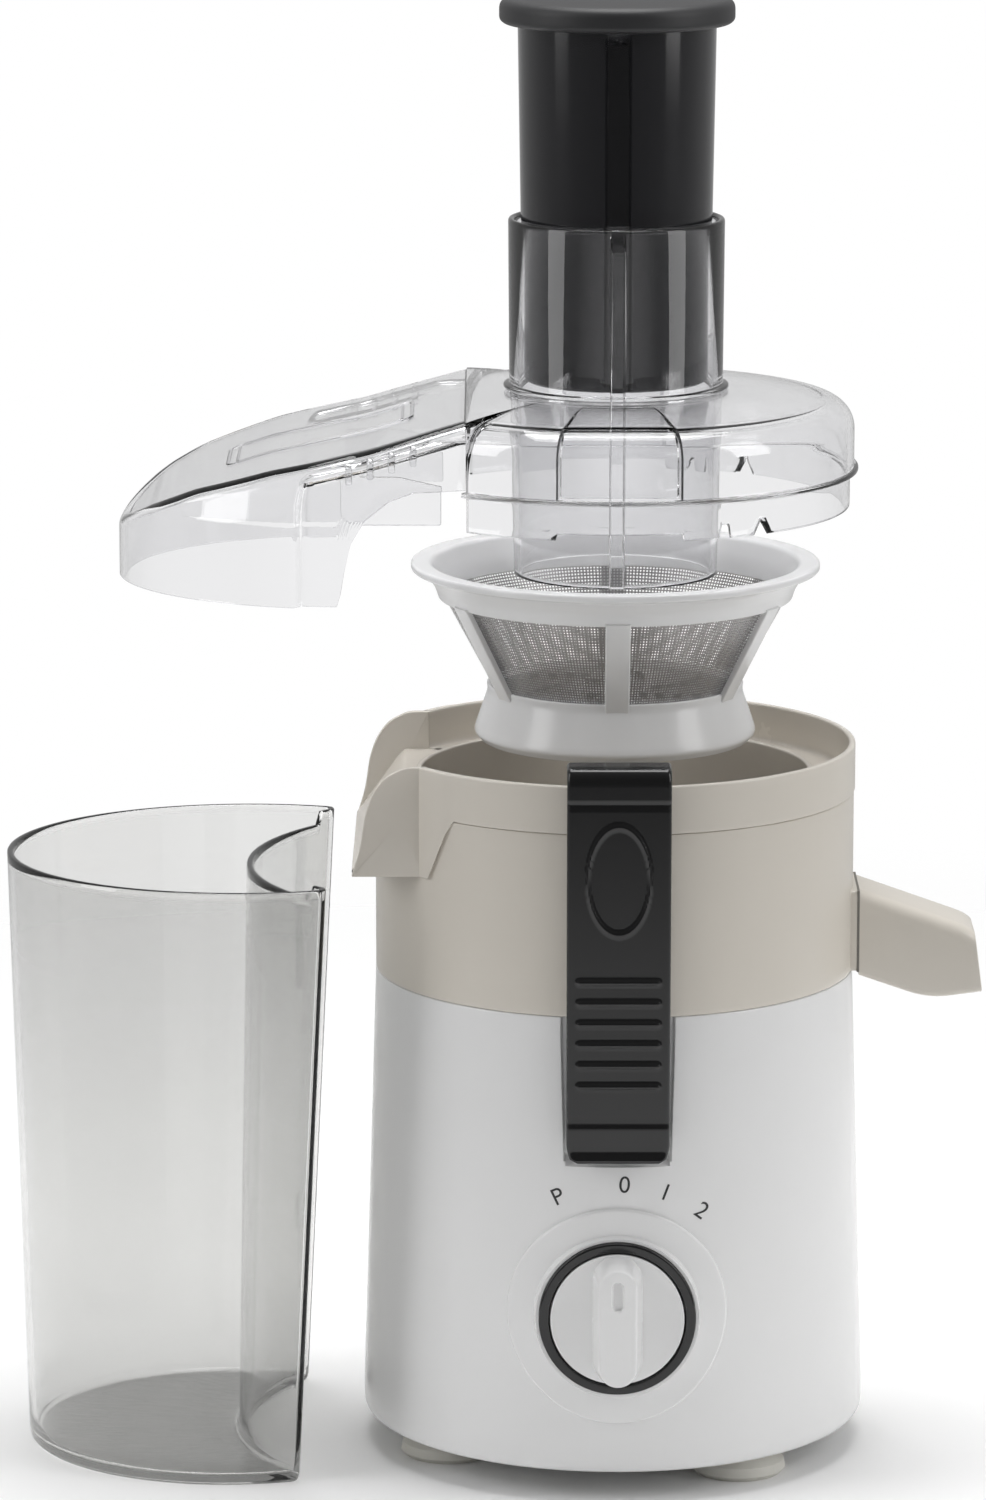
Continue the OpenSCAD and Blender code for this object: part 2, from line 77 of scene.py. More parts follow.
def corner(points, radius, steps=5, closed=False):
    # each corner of a polyline becomes a quadratic curve that starts and ends radius away from it
    p = np.asarray(points, float)
    radii = np.broadcast_to(np.asarray(radius, float), (len(p),))
    out = []
    for i in range(len(p)):
        if not closed and i in (0, len(p) - 1) or radii[i] <= 0:
            out.append(p[i:i + 1])
            continue
        a, b, c = p[i - 1], p[i], p[(i + 1) % len(p)]
        la, lc = np.linalg.norm(a - b), np.linalg.norm(c - b)
        start = b + (a - b) / la * min(radii[i], la * 0.48)
        end = b + (c - b) / lc * min(radii[i], lc * 0.48)
        t = np.linspace(0, 1, steps + 1)[:, None]
        out.append((1 - t) ** 2 * start + 2 * t * (1 - t) * b + t ** 2 * end)
    return np.concatenate(out)


def dense(points, pitch):
    # the same polyline with points added so that no step is longer than pitch
    p = np.asarray(points, float)
    out = []
    for a, b in zip(p[:-1], p[1:]):
        n = max(1, int(math.ceil(np.linalg.norm(b - a) / pitch)))
        out.append(a + (b - a) * (np.arange(n) / n)[:, None])
    out.append(p[-1:])
    return np.concatenate(out)


def denseLoop(points, pitch):
    # the same for a closed loop
    return dense(np.concatenate([points, points[:1]]), pitch)[:-1]


def smooth(x, a, b):
    # 0 below a, 1 above b, and a cubic ease between
    t = np.clip((x - a) / (b - a), 0, 1)
    return t * t * (3 - 2 * t)


def boxDistance(x, y, halfX, halfY, radius):
    # signed distance to a rounded rectangle centred on nought, negative inside
    qx = np.abs(x) - halfX + radius
    qy = np.abs(y) - halfY + radius
    outside = np.hypot(np.maximum(qx, 0), np.maximum(qy, 0))
    return outside + np.minimum(np.maximum(qx, qy), 0) - radius


def turned(profile, angles):
    # a profile of (radius, height) carried round the upright axis: x = r cos a, y = r sin a
    p = np.asarray(profile, float)[:, None, :]
    a = np.radians(np.asarray(angles, float))[None, :]
    return np.stack([p[..., 0] * np.cos(a), p[..., 0] * np.sin(a), p[..., 1] + 0 * a], -1)


def allRound(count=180):
    return np.arange(count) * 360 / count


def anglesWith(spans, coarse=3.0, fine=0.25):
    # angles right round, coarse apart from the spans, which are finely divided
    marks = [np.arange(0, 360, coarse)]
    for a, b in spans:
        marks.append(np.arange(a, b, fine) % 360)
    return np.unique(np.round(np.concatenate(marks), 3))


def between(first, last, steps):
    # rows that run straight from one loop of points to another
    t = np.linspace(0, 1, steps)[:, None, None]
    return np.asarray(first, float) * (1 - t) + np.asarray(last, float) * t


def pinched(loop):
    # a row that closes a loop: every point goes to the loop's middle
    return np.repeat(loop.mean(0, keepdims=True), len(loop), 0)


def inset(loop, d):
    # a closed loop moved in by d along its normals
    tangent = np.roll(loop, -1, 0) - np.roll(loop, 1, 0)
    normal = np.stack([tangent[:, 1], -tangent[:, 0]], -1) / (np.linalg.norm(tangent, axis=1)[:, None] + 1e-9)
    twiceArea = np.sum(loop[:, 0] * np.roll(loop[:, 1], -1) - np.roll(loop[:, 0], -1) * loop[:, 1])
    return loop - normal * d * math.copysign(1, twiceArea)


def meshFrom(name, verts, quads, near):
    # one mesh from whole arrays, with points nearer than near made one; returned open for more work
    mesh = bpy.data.meshes.new(name)
    mesh.vertices.add(len(verts))
    mesh.vertices.foreach_set("co", verts.ravel())
    mesh.loops.add(quads.size)
    mesh.loops.foreach_set("vertex_index", quads.ravel().astype(np.int32))
    mesh.polygons.add(len(quads))
    mesh.polygons.foreach_set("loop_start", np.arange(0, quads.size, 4, dtype=np.int32))
    mesh.update(calc_edges=True)
    mesh.validate()
    work = bmesh.new()
    work.from_mesh(mesh)
    bmesh.ops.remove_doubles(work, verts=work.verts, dist=near)
    return mesh, work


def shown(mesh, work, material):
    work.to_mesh(mesh)
    work.free()
    mesh.materials.append(material)
    piece = bpy.data.objects.new(mesh.name, mesh)
    bpy.context.collection.objects.link(piece)
    return piece


def meshOf(name, grids, material, sharp=32):
    # grids are (points[n, m, 3], closed across, closed along); each becomes quads between its rows
    verts, quads, start = [], [], 0
    for points, closeRows, closeColumns in grids:
        n, m = points.shape[:2]
        index = start + np.arange(n * m).reshape(n, m)
        if closeRows:
            index = np.concatenate([index, index[:1]], 0)
        if closeColumns:
            index = np.concatenate([index, index[:, :1]], 1)
        corners = [index[:-1, :-1], index[1:, :-1], index[1:, 1:], index[:-1, 1:]]
        quads.append(np.stack(corners, -1).reshape(-1, 4))
        verts.append(points.reshape(-1, 3) * mm)
        start += n * m
    mesh, work = meshFrom(name, np.concatenate(verts), np.concatenate(quads), 2e-6)
    bmesh.ops.dissolve_degenerate(work, dist=1e-6, edges=work.edges)
    bmesh.ops.recalc_face_normals(work, faces=work.faces)
    piece = shown(mesh, work, material)
    mesh.shade_smooth()
    mesh.set_sharp_from_angle(angle=math.radians(sharp))
    return piece


def place(piece, body, slot, *nodes):
    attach(piece, body)
    if nodes:
        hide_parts(*nodes)
    return piece


# ---- materials ----


def linear(code):
    # sRGB hex to linear RGBA
    c = [int(code[i:i + 2], 16) / 255 for i in (1, 3, 5)]
    return [x / 12.92 if x <= 0.04045 else ((x + 0.055) / 1.055) ** 2.4 for x in c] + [1]


def darker(code, share):
    return [x * share for x in linear(code)[:3]] + [1]


def add(tree, kind, settings=None, links=None):
    # adds a node, sets its properties or sockets, and links sockets from (node, output) pairs
    node = tree.nodes.new("ShaderNode" + kind)
    for key, value in (settings or {}).items():
        if hasattr(node, key) and not isinstance(key, int):
            setattr(node, key, value)
        else:
            node.inputs[key].default_value = value
    for key, (source, output) in (links or {}).items():
        tree.links.new(source.outputs[output], node.inputs[key])
    return node


def blank(name):
    material = bpy.data.materials.new(name)
    material.use_nodes = True
    tree = material.node_tree
    tree.nodes.clear()
    return material, tree, add(tree, "OutputMaterial")


def coordinates(tree, stretch=(1, 1, 1)):
    # object coordinates, which are in metres
    return add(tree, "Mapping", {"Scale": stretch}, {"Vector": (add(tree, "TexCoord"), "Object")})


def mouldedPlastic(name, colour, roughness, grainMm=0.5, grain=0.04, ior=1.54, wear=0.03, coat=0.0):
    # injection moulded: a near-even colour, with a fine tool texture and faint handling marks in the gloss
    material, tree, out = blank(name)
    where = coordinates(tree)
    fine = add(tree, "TexNoise", {"Scale": 1 / (grainMm * mm), "Detail": 3.0}, {"Vector": (where, "Vector")})
    broad = add(tree, "TexNoise", {"Scale": 28.0, "Detail": 4.0, "Roughness": 0.6},
                {"Vector": (where, "Vector")})
    tone = add(tree, "MixRGB", {"Color1": linear(colour), "Color2": darker(colour, 1 - wear)},
               {"Fac": (broad, "Fac")})
    gloss = add(tree, "MapRange", {"To Min": roughness * 0.93, "To Max": roughness * 1.1},
                {"Value": (broad, "Fac")})
    bump = add(tree, "Bump", {"Strength": grain, "Distance": 0.0002}, {"Height": (fine, "Fac")})
    shader = add(tree, "BsdfPrincipled", {"IOR": ior, "Coat Weight": coat, "Coat Roughness": 0.08},
                 {"Base Color": (tone, "Color"), "Roughness": (gloss, "Result"), "Normal": (bump, "Normal")})
    tree.links.new(shader.outputs[0], out.inputs[0])
    return material


def clearPlastic(name, tint, shade, roughness=0.02, ior=1.5, through=1.0):
    # clear moulded resin: refracts at its edges, and lets lamps through so that what it holds stays lit
    material, tree, out = blank(name)
    where = coordinates(tree)
    broad = add(tree, "TexNoise", {"Scale": 35.0, "Detail": 3.0}, {"Vector": (where, "Vector")})
    gloss = add(tree, "MapRange", {"To Min": roughness * 0.6, "To Max": roughness * 1.6},
                {"Value": (broad, "Fac")})
    shader = add(tree, "BsdfPrincipled",
                 {"Base Color": linear(tint), "IOR": ior, "Transmission Weight": through},
                 {"Roughness": (gloss, "Result")})
    clearPass = add(tree, "BsdfTransparent", {"Color": linear(shade)})
    path = add(tree, "LightPath")
    both = add(tree, "MixShader", {}, {0: (path, "Is Shadow Ray"), 1: (shader, 0), 2: (clearPass, 0)})
    tree.links.new(both.outputs[0], out.inputs[0])
    return material


def metalFinish(name, colour, roughness, grainMm=0.3, stretch=(1, 1, 1), grain=0.05):
    # metal sheet, cast or ground: an uneven gloss with lines along the way it was worked
    material, tree, out = blank(name)
    worked, where = coordinates(tree, stretch), coordinates(tree)
    fine = add(tree, "TexNoise", {"Scale": 1 / (grainMm * mm), "Detail": 2.0}, {"Vector": (worked, "Vector")})
    broad = add(tree, "TexNoise", {"Scale": 60.0, "Detail": 3.0}, {"Vector": (where, "Vector")})
    tone = add(tree, "MixRGB", {"Color1": linear(colour), "Color2": darker(colour, 0.8)},
               {"Fac": (broad, "Fac")})
    gloss = add(tree, "MapRange", {"To Min": roughness * 0.75, "To Max": roughness * 1.3},
                {"Value": (fine, "Fac")})
    bump = add(tree, "Bump", {"Strength": grain, "Distance": 0.0001}, {"Height": (fine, "Fac")})
    shader = add(tree, "BsdfPrincipled", {"Metallic": 1.0},
                 {"Base Color": (tone, "Color"), "Roughness": (gloss, "Result"), "Normal": (bump, "Normal")})
    tree.links.new(shader.outputs[0], out.inputs[0])
    return material


print("juicer: materials")
finish = {
    # bright white with soft, even reflections, as ABS from a polished tool has
    "whiteAbs": mouldedPlastic("white ABS, polished tool", "#EBEBEB", 0.2, 0.8, 0.02),
    # warm grey beige with a softer gloss, and a plainer grey for what stands inside
    "beigeAbs": mouldedPlastic("beige ABS, satin", "#D8D2C8", 0.26, 0.6, 0.04),
    "greyAbs": mouldedPlastic("grey ABS, satin", "#CFCFCC", 0.45),
    # near black with sharp highlights along the arms' bars and rounded edges
    "blackAbs": mouldedPlastic("black ABS, gloss", "#0E0E0F", 0.14, 0.8, 0.02, wear=0.15),
    # almost colourless with dark edges, a light grey smoke, and a dark smoke that hides what is behind it
    "clearSan": clearPlastic("clear SAN, faint grey", "#F2F2F3", "#DCDCDD", 0.015, 1.5),
    "containerSan": clearPlastic("smoke clear SAN", "#E6E6E5", "#CDCDCC", 0.02, 1.5),
    "smokeSan": clearPlastic("dark smoke SAN", "#2B2B2E", "#303033", 0.08, 1.5, 0.4),
    # dull dark grey with a fine grain and broad highlights
    "capAbs": mouldedPlastic("dark grey ABS, fine matt", "#262628", 0.5, 0.35, 0.15),
    # rubbers: dull, with hardly a highlight
    "footRubber": mouldedPlastic("off-white rubber", "#DAD8D0", 0.6, 0.3, 0.1, 1.52),
    "sealRubber": mouldedPlastic("black rubber", "#1C1C1C", 0.65, 0.3, 0.1, 1.52),
    "spoutRubber": mouldedPlastic("grey rubber", "#77746E", 0.6, 0.3, 0.1, 1.52),
    # what the motor's insulation, board, brushes and the print on the base look like
    "phenolic": mouldedPlastic("black phenolic, moulded", "#2B2B2D", 0.45, 0.4, 0.1, 1.6),
    "circuitLaminate": mouldedPlastic("glass epoxy with green solder mask", "#2B5A3B", 0.35, 0.2, 0.1),
    "carbon": mouldedPlastic("pressed carbon", "#1E1E1E", 0.7, 0.2, 0.2, 1.6),
    "ink": mouldedPlastic("pad printed dark ink", "#2A2A2B", 0.5, 0.3, 0.05),
    # metals: grainy where cast, bright and lined where ground, drawn or brushed
    "castAluminium": metalFinish("aluminium, as cast", "#B9BBBD", 0.5, 0.6, grain=0.2),
    "zincSteel": metalFinish("steel, zinc plated", "#B4B4AE", 0.35),
    "bearingSteel": metalFinish("steel, ground", "#A6A8AA", 0.22, 0.2, (1, 1, 0.1)),
    "electricalSteel": metalFinish("electrical steel, laminated", "#7C7E80", 0.45, 0.5, (0.05, 0.05, 1), 0.4),
    "enamelledCopper": metalFinish("copper wire, enamelled", "#B46A35", 0.3, 0.6, (0.1, 0.1, 1), 0.6),
    "brassStrip": metalFinish("brass, drawn", "#BFA65C", 0.3),
    # a dull grey for the etched sieve, and a clean brushed sheet for the cutter
    "etchedStainless": metalFinish("stainless steel, etched sheet", "#A9A7A6", 0.38, 0.2),
    "stainlessSheet": metalFinish("stainless steel, brushed", "#B9BABB", 0.28, 0.15, (1, 0.1, 1)),
}
for part in frame["record"]["subparts"]:
    # each slot is the finish of the same name: white_abs is whiteAbs
    first, *rest = part["material_slot"].split("_")
    mesh = frame["nodes"][part["node"]].data
    mesh.materials.clear()
    mesh.materials.append(finish[first + "".join(word.title() for word in rest)])

# ---- base ----

print("juicer: base")
base = {"lowR": 85.0, "topR": 80.6, "edge": 9.0, "wall": 2.6, "pocketHalf": 18.6, "pocketFloor": 77.4,
        "pocketLow": 115.0, "hole": 12.0}


def baseRadius(z):
    # straight taper from the shoulder to the seam
    z0 = level["underside"] + base["edge"]
    return base["lowR"] + (base["topR"] - base["lowR"]) * np.clip((z - z0) / (level["seam"] - z0), 0, 1)


def armGroove(points, floor, bottom, half, deep=0.0):
    # where |x| < half and z > bottom, |y| is held at the groove's floor; eased edges make the groove's radii
    x, y, z = points[..., 0], points[..., 1], points[..., 2]
    taper = half - 1.0 * (1 - smooth(z, bottom, bottom + 50))
    mask = smooth(-boxDistance(x, z - bottom - 200, taper, 200, 3.0), -0.35, 0.45)
    held = np.minimum(np.abs(y), floor - deep)
    out = points.copy()
    out[..., 1] = np.sign(y) * (np.abs(y) * (1 - mask) + held * mask)
    return out


grooveAngles = anglesWith([(76.0, 78.2), (101.8, 104.0), (256.0, 258.2), (281.8, 284.0)], 2.0, 0.16)
z0, z1, e, wall = level["underside"], level["seam"], base["edge"], base["wall"]
outline = corner([(74, z0 + 3), (74, z0), (base["lowR"] - e, z0), (base["lowR"], z0), (base["lowR"], z0 + e),
                  (base["topR"], z1), (base["hole"], z1), (base["hole"], z1 - wall),
                  (base["topR"] - wall, z1 - wall), (base["lowR"] - wall, z0 + e),
                  (78.6, z0 + 3)], [0.3, 0.6, 0, e, 0, 0.7, 0.5, 0.5, 0.5, 4, 0.5], 7, closed=True)
outline = dense(outline, 1.6)
shell = turned(outline, grooveAngles)
outerRows = (outline[:, 0] > baseRadius(outline[:, 1]) - 0.9)[:, None]
thick = np.where(outerRows, 0.0, wall)
shell = armGroove(shell, base["pocketFloor"], base["pocketLow"], base["pocketHalf"], thick)
place(meshOf("base_shell", [(shell, True, True)], finish["whiteAbs"]), "base", "white_abs", "base_housing")

# ---- dial ----

dial = {"bezel": 36.5, "rim": 0.9, "proud": 1.6, "flat": 27.6, "face": 86.4, "fall": 1.19,
        "ringIn": 22.6, "ringOut": 25.85, "ringFace": 88.2, "ringFoot": 80.0}
knob = {"radius": 22.1, "edge": 0.5, "face": 88.6, "dish": 0.7, "grip": 8.2, "gripEnd": 100.6,
        "gripStraight": 13.7, "draft": 6.0, "slot": (1.9, 4.9), "slotUp": 11.0, "slotDeep": 1.3, "back": 85.0}
zc = level["dial"]


def baseFace(x, z):
    # |y| of the base's outside at (x, z)
    return np.sqrt(baseRadius(z) ** 2 - x * x)


def facing(radii, angles, depth):
    # a polar grid about the dial's axis, with depth(x, z) as |y|
    a = np.radians(angles)[None, :]
    r = np.asarray(radii, float)[:, None]
    x, z = r * np.cos(a), zc + r * np.sin(a)
    return np.stack([x, -depth(x, z, r), z], -1)


dialAngles = allRound(240)
rimStart = dial["bezel"] - dial["rim"]
rimRadii = dial["bezel"] - dial["rim"] * (1 - np.sin(np.radians(np.arange(10, 91, 10))))
radii = np.concatenate([[26.0, 26.0, 26.15, 26.5, 27.0], np.linspace(dial["flat"], rimStart, 22),
                        rimRadii, [dial["bezel"]]])


def dishDepth(x, z, r):
    # flat beside the ring, then a slope that runs out into the base, and a rounded rim that stands proud of it
    skin = baseFace(x, z) + dial["proud"]
    slope = dial["face"] - (r - dial["flat"]) * dial["fall"]
    raised = np.maximum(skin, np.minimum(dial["face"], slope))
    soft = 0.5 * (raised + np.sqrt((raised - skin) ** 2 + 0.5))
    top = np.where(r < dial["flat"], dial["face"], np.maximum(soft, skin))
    rim = np.sqrt(np.clip(1 - np.clip((r - rimStart) / dial["rim"], 0, 1) ** 2, 0, 1))
    return np.where(r > rimStart, baseFace(x, z) + dial["proud"] * rim, top)


dish = facing(radii, dialAngles, dishDepth)
for row in (0, -1):
    dish[row, :, 1] = 0.8 - baseFace(dish[row, :, 0], dish[row, :, 2])
place(meshOf("dial_dish", [(dish, True, True)], finish["whiteAbs"], 40), "base", "white_abs", "dial_bezel")

ringLoop = corner([(dial["ringIn"], dial["ringFoot"]), (dial["ringIn"], dial["ringFace"] - 0.2),
                   (dial["ringOut"], dial["ringFace"]), (dial["ringOut"], dial["ringFoot"])],
                  [0, 0.5, 0.8, 0], 5, closed=True)
ringGrid = facing(ringLoop[:, 0], dialAngles, lambda x, z, r: ringLoop[:, 1][:, None] + 0 * x)
place(meshOf("dial_trim_ring", [(ringGrid, True, True)], finish["blackAbs"]), "base", "black_abs", "dial_ring")

flatR = knob["radius"] - knob["edge"]


def knobDepth(x, z, r):
    # a dished disc, with a drafted grip across it that has half-round ends, rounded edges and a pointer slot
    dz = z - zc
    wall = (knob["grip"] - np.hypot(x, np.clip(np.abs(dz) - knob["gripStraight"], 0, None))) * knob["draft"]
    rise = np.clip(wall, 0, None)
    top = knob["gripEnd"] - knob["face"]
    h = 0.5 * (rise + top - np.sqrt((rise - top) ** 2 + 3.0))
    h = np.clip(h, 0, None) * smooth(wall, -0.2, 1.2)
    slot = smooth(-boxDistance(x, dz - knob["slotUp"], *knob["slot"], 1.85), -0.3, 0.4)
    dished = knob["dish"] * (1 - (r / flatR) ** 2) * (h < 0.5)
    return knob["face"] - dished + h - knob["slotDeep"] * slot * smooth(h, 8, 11)


knobRadii = np.concatenate([np.linspace(0.0, flatR, 110),
                            knob["radius"] - knob["edge"] * (1 - np.sin(np.radians([20, 45, 70, 90])))])
face = facing(knobRadii, allRound(480), knobDepth)
edge = np.clip((knobRadii - flatR) / knob["edge"], 0, 1)[:, None]
face[..., 1] += knob["edge"] * (1 - np.sqrt(1 - edge ** 2)) * (np.abs(face[..., 1]) < 89)
back = face[-1:].copy()
back[..., 1] = -knob["back"]
behind = back.copy()
behind[..., 0] *= 0.02
behind[..., 2] = zc + (behind[..., 2] - zc) * 0.02
knobGrid = np.concatenate([face, back, behind, pinched(back[0])[None]])
place(meshOf("dial_knob_moulding", [(knobGrid, False, True)], finish["whiteAbs"], 42),
      "dial_knob", "white_abs", "knob")

# printed marks, laid on the base round the dial
marks = {"turns": {"P": -26, "0": 3, "1": 21, "2": 39}, "radius": 44.5, "size": 8.0, "proud": 0.06}
for text, turn in marks["turns"].items():
    curve = bpy.data.curves.new("mark", "FONT")
    curve.body, curve.size = text, marks["size"] * mm
    curve.align_x, curve.align_y = "CENTER", "CENTER"
    holder = bpy.data.objects.new("mark", curve)
    bpy.context.collection.objects.link(holder)
    flat = bpy.data.meshes.new_from_object(holder.evaluated_get(bpy.context.evaluated_depsgraph_get()))
    bpy.data.objects.remove(holder)
    co = np.zeros(len(flat.vertices) * 3)
    flat.vertices.foreach_get("co", co)
    co = co.reshape(-1, 3) / mm
    co[:, :2] -= (co[:, :2].max(0) + co[:, :2].min(0)) / 2
    a, out = math.radians(turn), co[:, 1] + marks["radius"]
    x = co[:, 0] * math.cos(a) + out * math.sin(a)
    z = zc - co[:, 0] * math.sin(a) + out * math.cos(a)
    flat.vertices.foreach_set("co", (np.stack([x, -baseFace(x, z) - marks["proud"], z], -1) * mm).ravel())
    flat.materials.clear()
    flat.materials.append(finish["ink"])
    name = "dial_mark_" + text
    flat.name = name
    mark = bpy.data.objects.new(name, flat)
    bpy.context.collection.objects.link(mark)
    place(mark, "base", "black_abs")

# ---- bowl ----

print("juicer: bowl and collar")
bowl = {"wall": 2.2, "inside": 78.4, "low": 167.0, "floor": 169.4, "ringIn": 65.0, "ringOut": 67.0,
        "hubIn": 17.0, "hubOut": 19.2, "hubTop": 173.5, "ringTop": level["rim"] - 10,
        "shelf": level["rim"] - 13, "collarLow": level["rim"] - 16, "collarR": 81.0, "collarIn": 78.8,
        "shelfIn": 67.4, "flat": 79.8, "flatLow": 60.0, "flatHalf": 18.6, "flatWall": 0.9, "beak": 49.0, "beakFoot": 205.0}
s, o = level["seam"], base["topR"]
cut = math.degrees(math.asin((bowl["beak"] + 0.4) / o))
bowlAngles = np.unique(np.concatenate([grooveAngles, [180 - cut, 180 - cut - 0.12, 180 + cut, 180 + cut + 0.12],
                                       [8.5, 351.5], np.arange(352, 360, 1), np.arange(0, 8, 1)]))
bowlAngles = np.delete(bowlAngles, np.where((bowlAngles > 8.1) & (bowlAngles < 8.4))[0])
wallIn, wallTop = bowl["inside"], bowl["collarLow"] - 0.2
bowlLoop = corner([(bowl["hubIn"], bowl["low"]), (wallIn, bowl["low"]), (wallIn, s + 0.1), (o, s + 0.1),
                   (o, wallTop), (wallIn, wallTop), (wallIn, bowl["floor"]), (bowl["ringOut"], bowl["floor"]),
                   (bowl["ringOut"], bowl["ringTop"]), (bowl["ringIn"], bowl["ringTop"]),
                   (bowl["ringIn"], bowl["floor"]), (bowl["hubOut"], bowl["floor"]),
                   (bowl["hubOut"], bowl["hubTop"]), (bowl["hubIn"], bowl["hubTop"])],
                  [0.4, 0.4, 0.3, 0.6, 0.5, 0.4, 2.5, 2.5, 0.8, 0.8, 5, 2, 0.5, 0.5], 5, closed=True)
bowlLoop = denseLoop(bowlLoop, 3.0)
bowlGrid = turned(bowlLoop, bowlAngles)
deep = np.where((bowlLoop[:, 0] > 79.2)[:, None], 0.0, bowl["wall"])
far = (bowlLoop[:, 0] > 74)[:, None]
cutFlat = armGroove(bowlGrid, bowl["flat"], bowl["flatLow"], bowl["flatHalf"], deep)
bowlGrid = np.where(far[..., None], cutFlat, bowlGrid)
inBeak = (np.abs(bowlAngles - 180) < cut + 0.05)[None, :]
underBeak = np.minimum(bowlGrid[..., 2], bowl["beakFoot"] - 0.3)
bowlGrid[..., 2] = np.where(far & inBeak, underBeak, bowlGrid[..., 2])
# the boss that the spout seals against: a rounded block let into the wall
boss = {"half": 15.0, "low": 0.3, "high": 28.2, "inner": 77.5, "outer": 81.3, "open": [0.79, 0.66]}
bossLoop = denseLoop(corner([(-boss["half"], s + boss["low"]), (boss["half"], s + boss["low"]),
                             (boss["half"], s + boss["high"]), (-boss["half"], s + boss["high"])],
                            2.0, 5, closed=True), 3.0)


def framed(x, loop):
    return np.stack([np.full(len(loop), float(x)), loop[:, 0], loop[:, 1]], -1)


middle = np.array([0, s + 14])
bossHole = (bossLoop - middle) * boss["open"] + middle
bossFrame = np.stack([framed(boss["inner"], bossLoop), framed(boss["outer"], bossLoop),
                      framed(boss["outer"] + 0.2, bossLoop * [0.99, 1]), framed(boss["outer"] + 0.2, bossHole),
                      framed(boss["inner"], bossHole)])
place(meshOf("bowl_moulding", [(bowlGrid, True, True), (bossFrame, True, True)], finish["beigeAbs"]),
      "base", "beige_abs", "juice_bowl", "chamber_ring")

# ---- collar with the pulp beak ----

end = math.degrees(math.asin((bowl["beak"] - 1.1) / 80))
collarAngles = np.unique(np.concatenate([grooveAngles[(grooveAngles > 180 + end) | (grooveAngles < 180 - end)],
                                         [180 + end, 180 - end]]))
collarAngles = np.roll(collarAngles, -np.searchsorted(collarAngles, 180 + end))
c0, top = bowl["collarLow"], level["rim"]
collarIn, collarR, shelf, shelfIn = bowl["collarIn"], bowl["collarR"], bowl["shelf"], bowl["shelfIn"]
collarLoop = corner([(collarIn, c0), (collarR, c0), (collarR, top), (collarIn, top), (collarIn, shelf),
                     (shelfIn, shelf), (shelfIn, shelf - 2), (bowl["inside"], shelf - 2)],
                    [0.3, 0.5, 0.9, 0.9, 2.0, 0.6, 0.4, 0.2], 6, closed=True)
collarLoop = denseLoop(collarLoop, 3.0)
collar = turned(collarLoop, collarAngles)
deep = np.where((collarLoop[:, 0] > 79.9)[:, None], 0.0, bowl["flatWall"])
wallRows = (collarLoop[:, 0] > 76)[:, None, None]
cutFlat = armGroove(collar, bowl["flat"], bowl["flatLow"], bowl["flatHalf"], deep)
collar = np.where(wallRows, cutFlat, collar)
# beside the beak the band runs down to the beak's foot along a slanting edge
drop = np.interp(collar[..., 0], [-62.0, -54.6], [c0 - bowl["beakFoot"], 0])
drop *= (collarLoop[:, 1] < c0 + 1.2)[:, None]
collar[..., 2] -= drop
proud = 1 + 0.010 * smooth(drop.max(0), 0, 6)[None, :] * (collarLoop[:, 0] > 80)[:, None]
collar[..., :2] *= proud[..., None]
beakSide = corner([(-62.8, top), (-70, top), (-77, 238.5), (-81, 233), (-83.4, 226), (-85, 214.5), (-88, 205),
                   (-64, 205), (-60, 224), (-60, 229), (-62.8, 229.5)],
                  [0.5, 2.5, 3, 3, 3, 4, 0.8, 1.0, 1, 0.5, 0.5], 5, closed=True)
beakSide = denseLoop(beakSide, 3.0)


def plate(loop, y0, y1, r):
    # a flat plate between y0 and y1 with its edges rounded by r, and both faces closed
    edge = [(y0 + r * (1 - math.cos(a)), r * (1 - math.sin(a))) for a in np.radians([0, 30, 60, 90])]
    moved = [(inset(loop, d), y) for y, d in edge + [(y1 + y0 - y, d) for y, d in reversed(edge)]]
    rows = [np.stack([p[:, 0], np.full(len(p), y), p[:, 1]], -1) for p, y in moved]
    return np.stack([pinched(rows[0])] + rows + [pinched(rows[-1])])


inner = bowl["beak"] - bowl["wall"]
across = np.linspace(-inner - 0.5, inner + 0.5, 61)
lip = -np.sqrt(shelfIn ** 2 - across ** 2)
slope = corner([(-69, 229), (-72, 229), (-88.1, 206.4), (-86.2, 205.1), (-70.8, 227), (-69, 227)],
               [0, 5, 0.8, 0.5, 3, 0], 5)
slide = [(lip, slope[0, 1])] + [(x, z) for x, z in slope] + [(lip, slope[-1, 1])]
slide = np.stack([np.stack([0 * across + x, across, 0 * across + z], -1) for x, z in slide])
beakPlates = [(plate(beakSide, y0, y1, 0.5), False, True) for y0, y1 in
              ((-bowl["beak"], -inner), (inner, bowl["beak"]))]
place(meshOf("collar_moulding", [(collar, True, False)] + beakPlates + [(slide, True, False)],
             finish["beigeAbs"]), "base", "beige_abs", "pulp_collar")

# ---- spout ----

spout = {"half": 15.0, "wall": 2.2}
upper = corner([(82.3, 192.7), (118.5, 179.9), (121, 178)], [0, 4, 0], 6)
lower = corner([(82.3, 163.3), (106, 155.2), (123.7, 157.6)], [0, 7, 0], 6)
upperIn = corner([(82.3, 189.0), (118.0, 177.2), (121, 177.0)], [0, 3, 0], 6)
lowerIn = corner([(82.3, 169.0), (106, 157.5), (123.3, 158.8)], [0, 7, 0], 6)


def evenly(line, n):
    s = np.concatenate([[0], np.cumsum(np.linalg.norm(np.diff(line, axis=0), axis=1))])
    t = np.linspace(0, s[-1], n)
    return np.stack([np.interp(t, s, line[:, 0]), np.interp(t, s, line[:, 1])], -1)


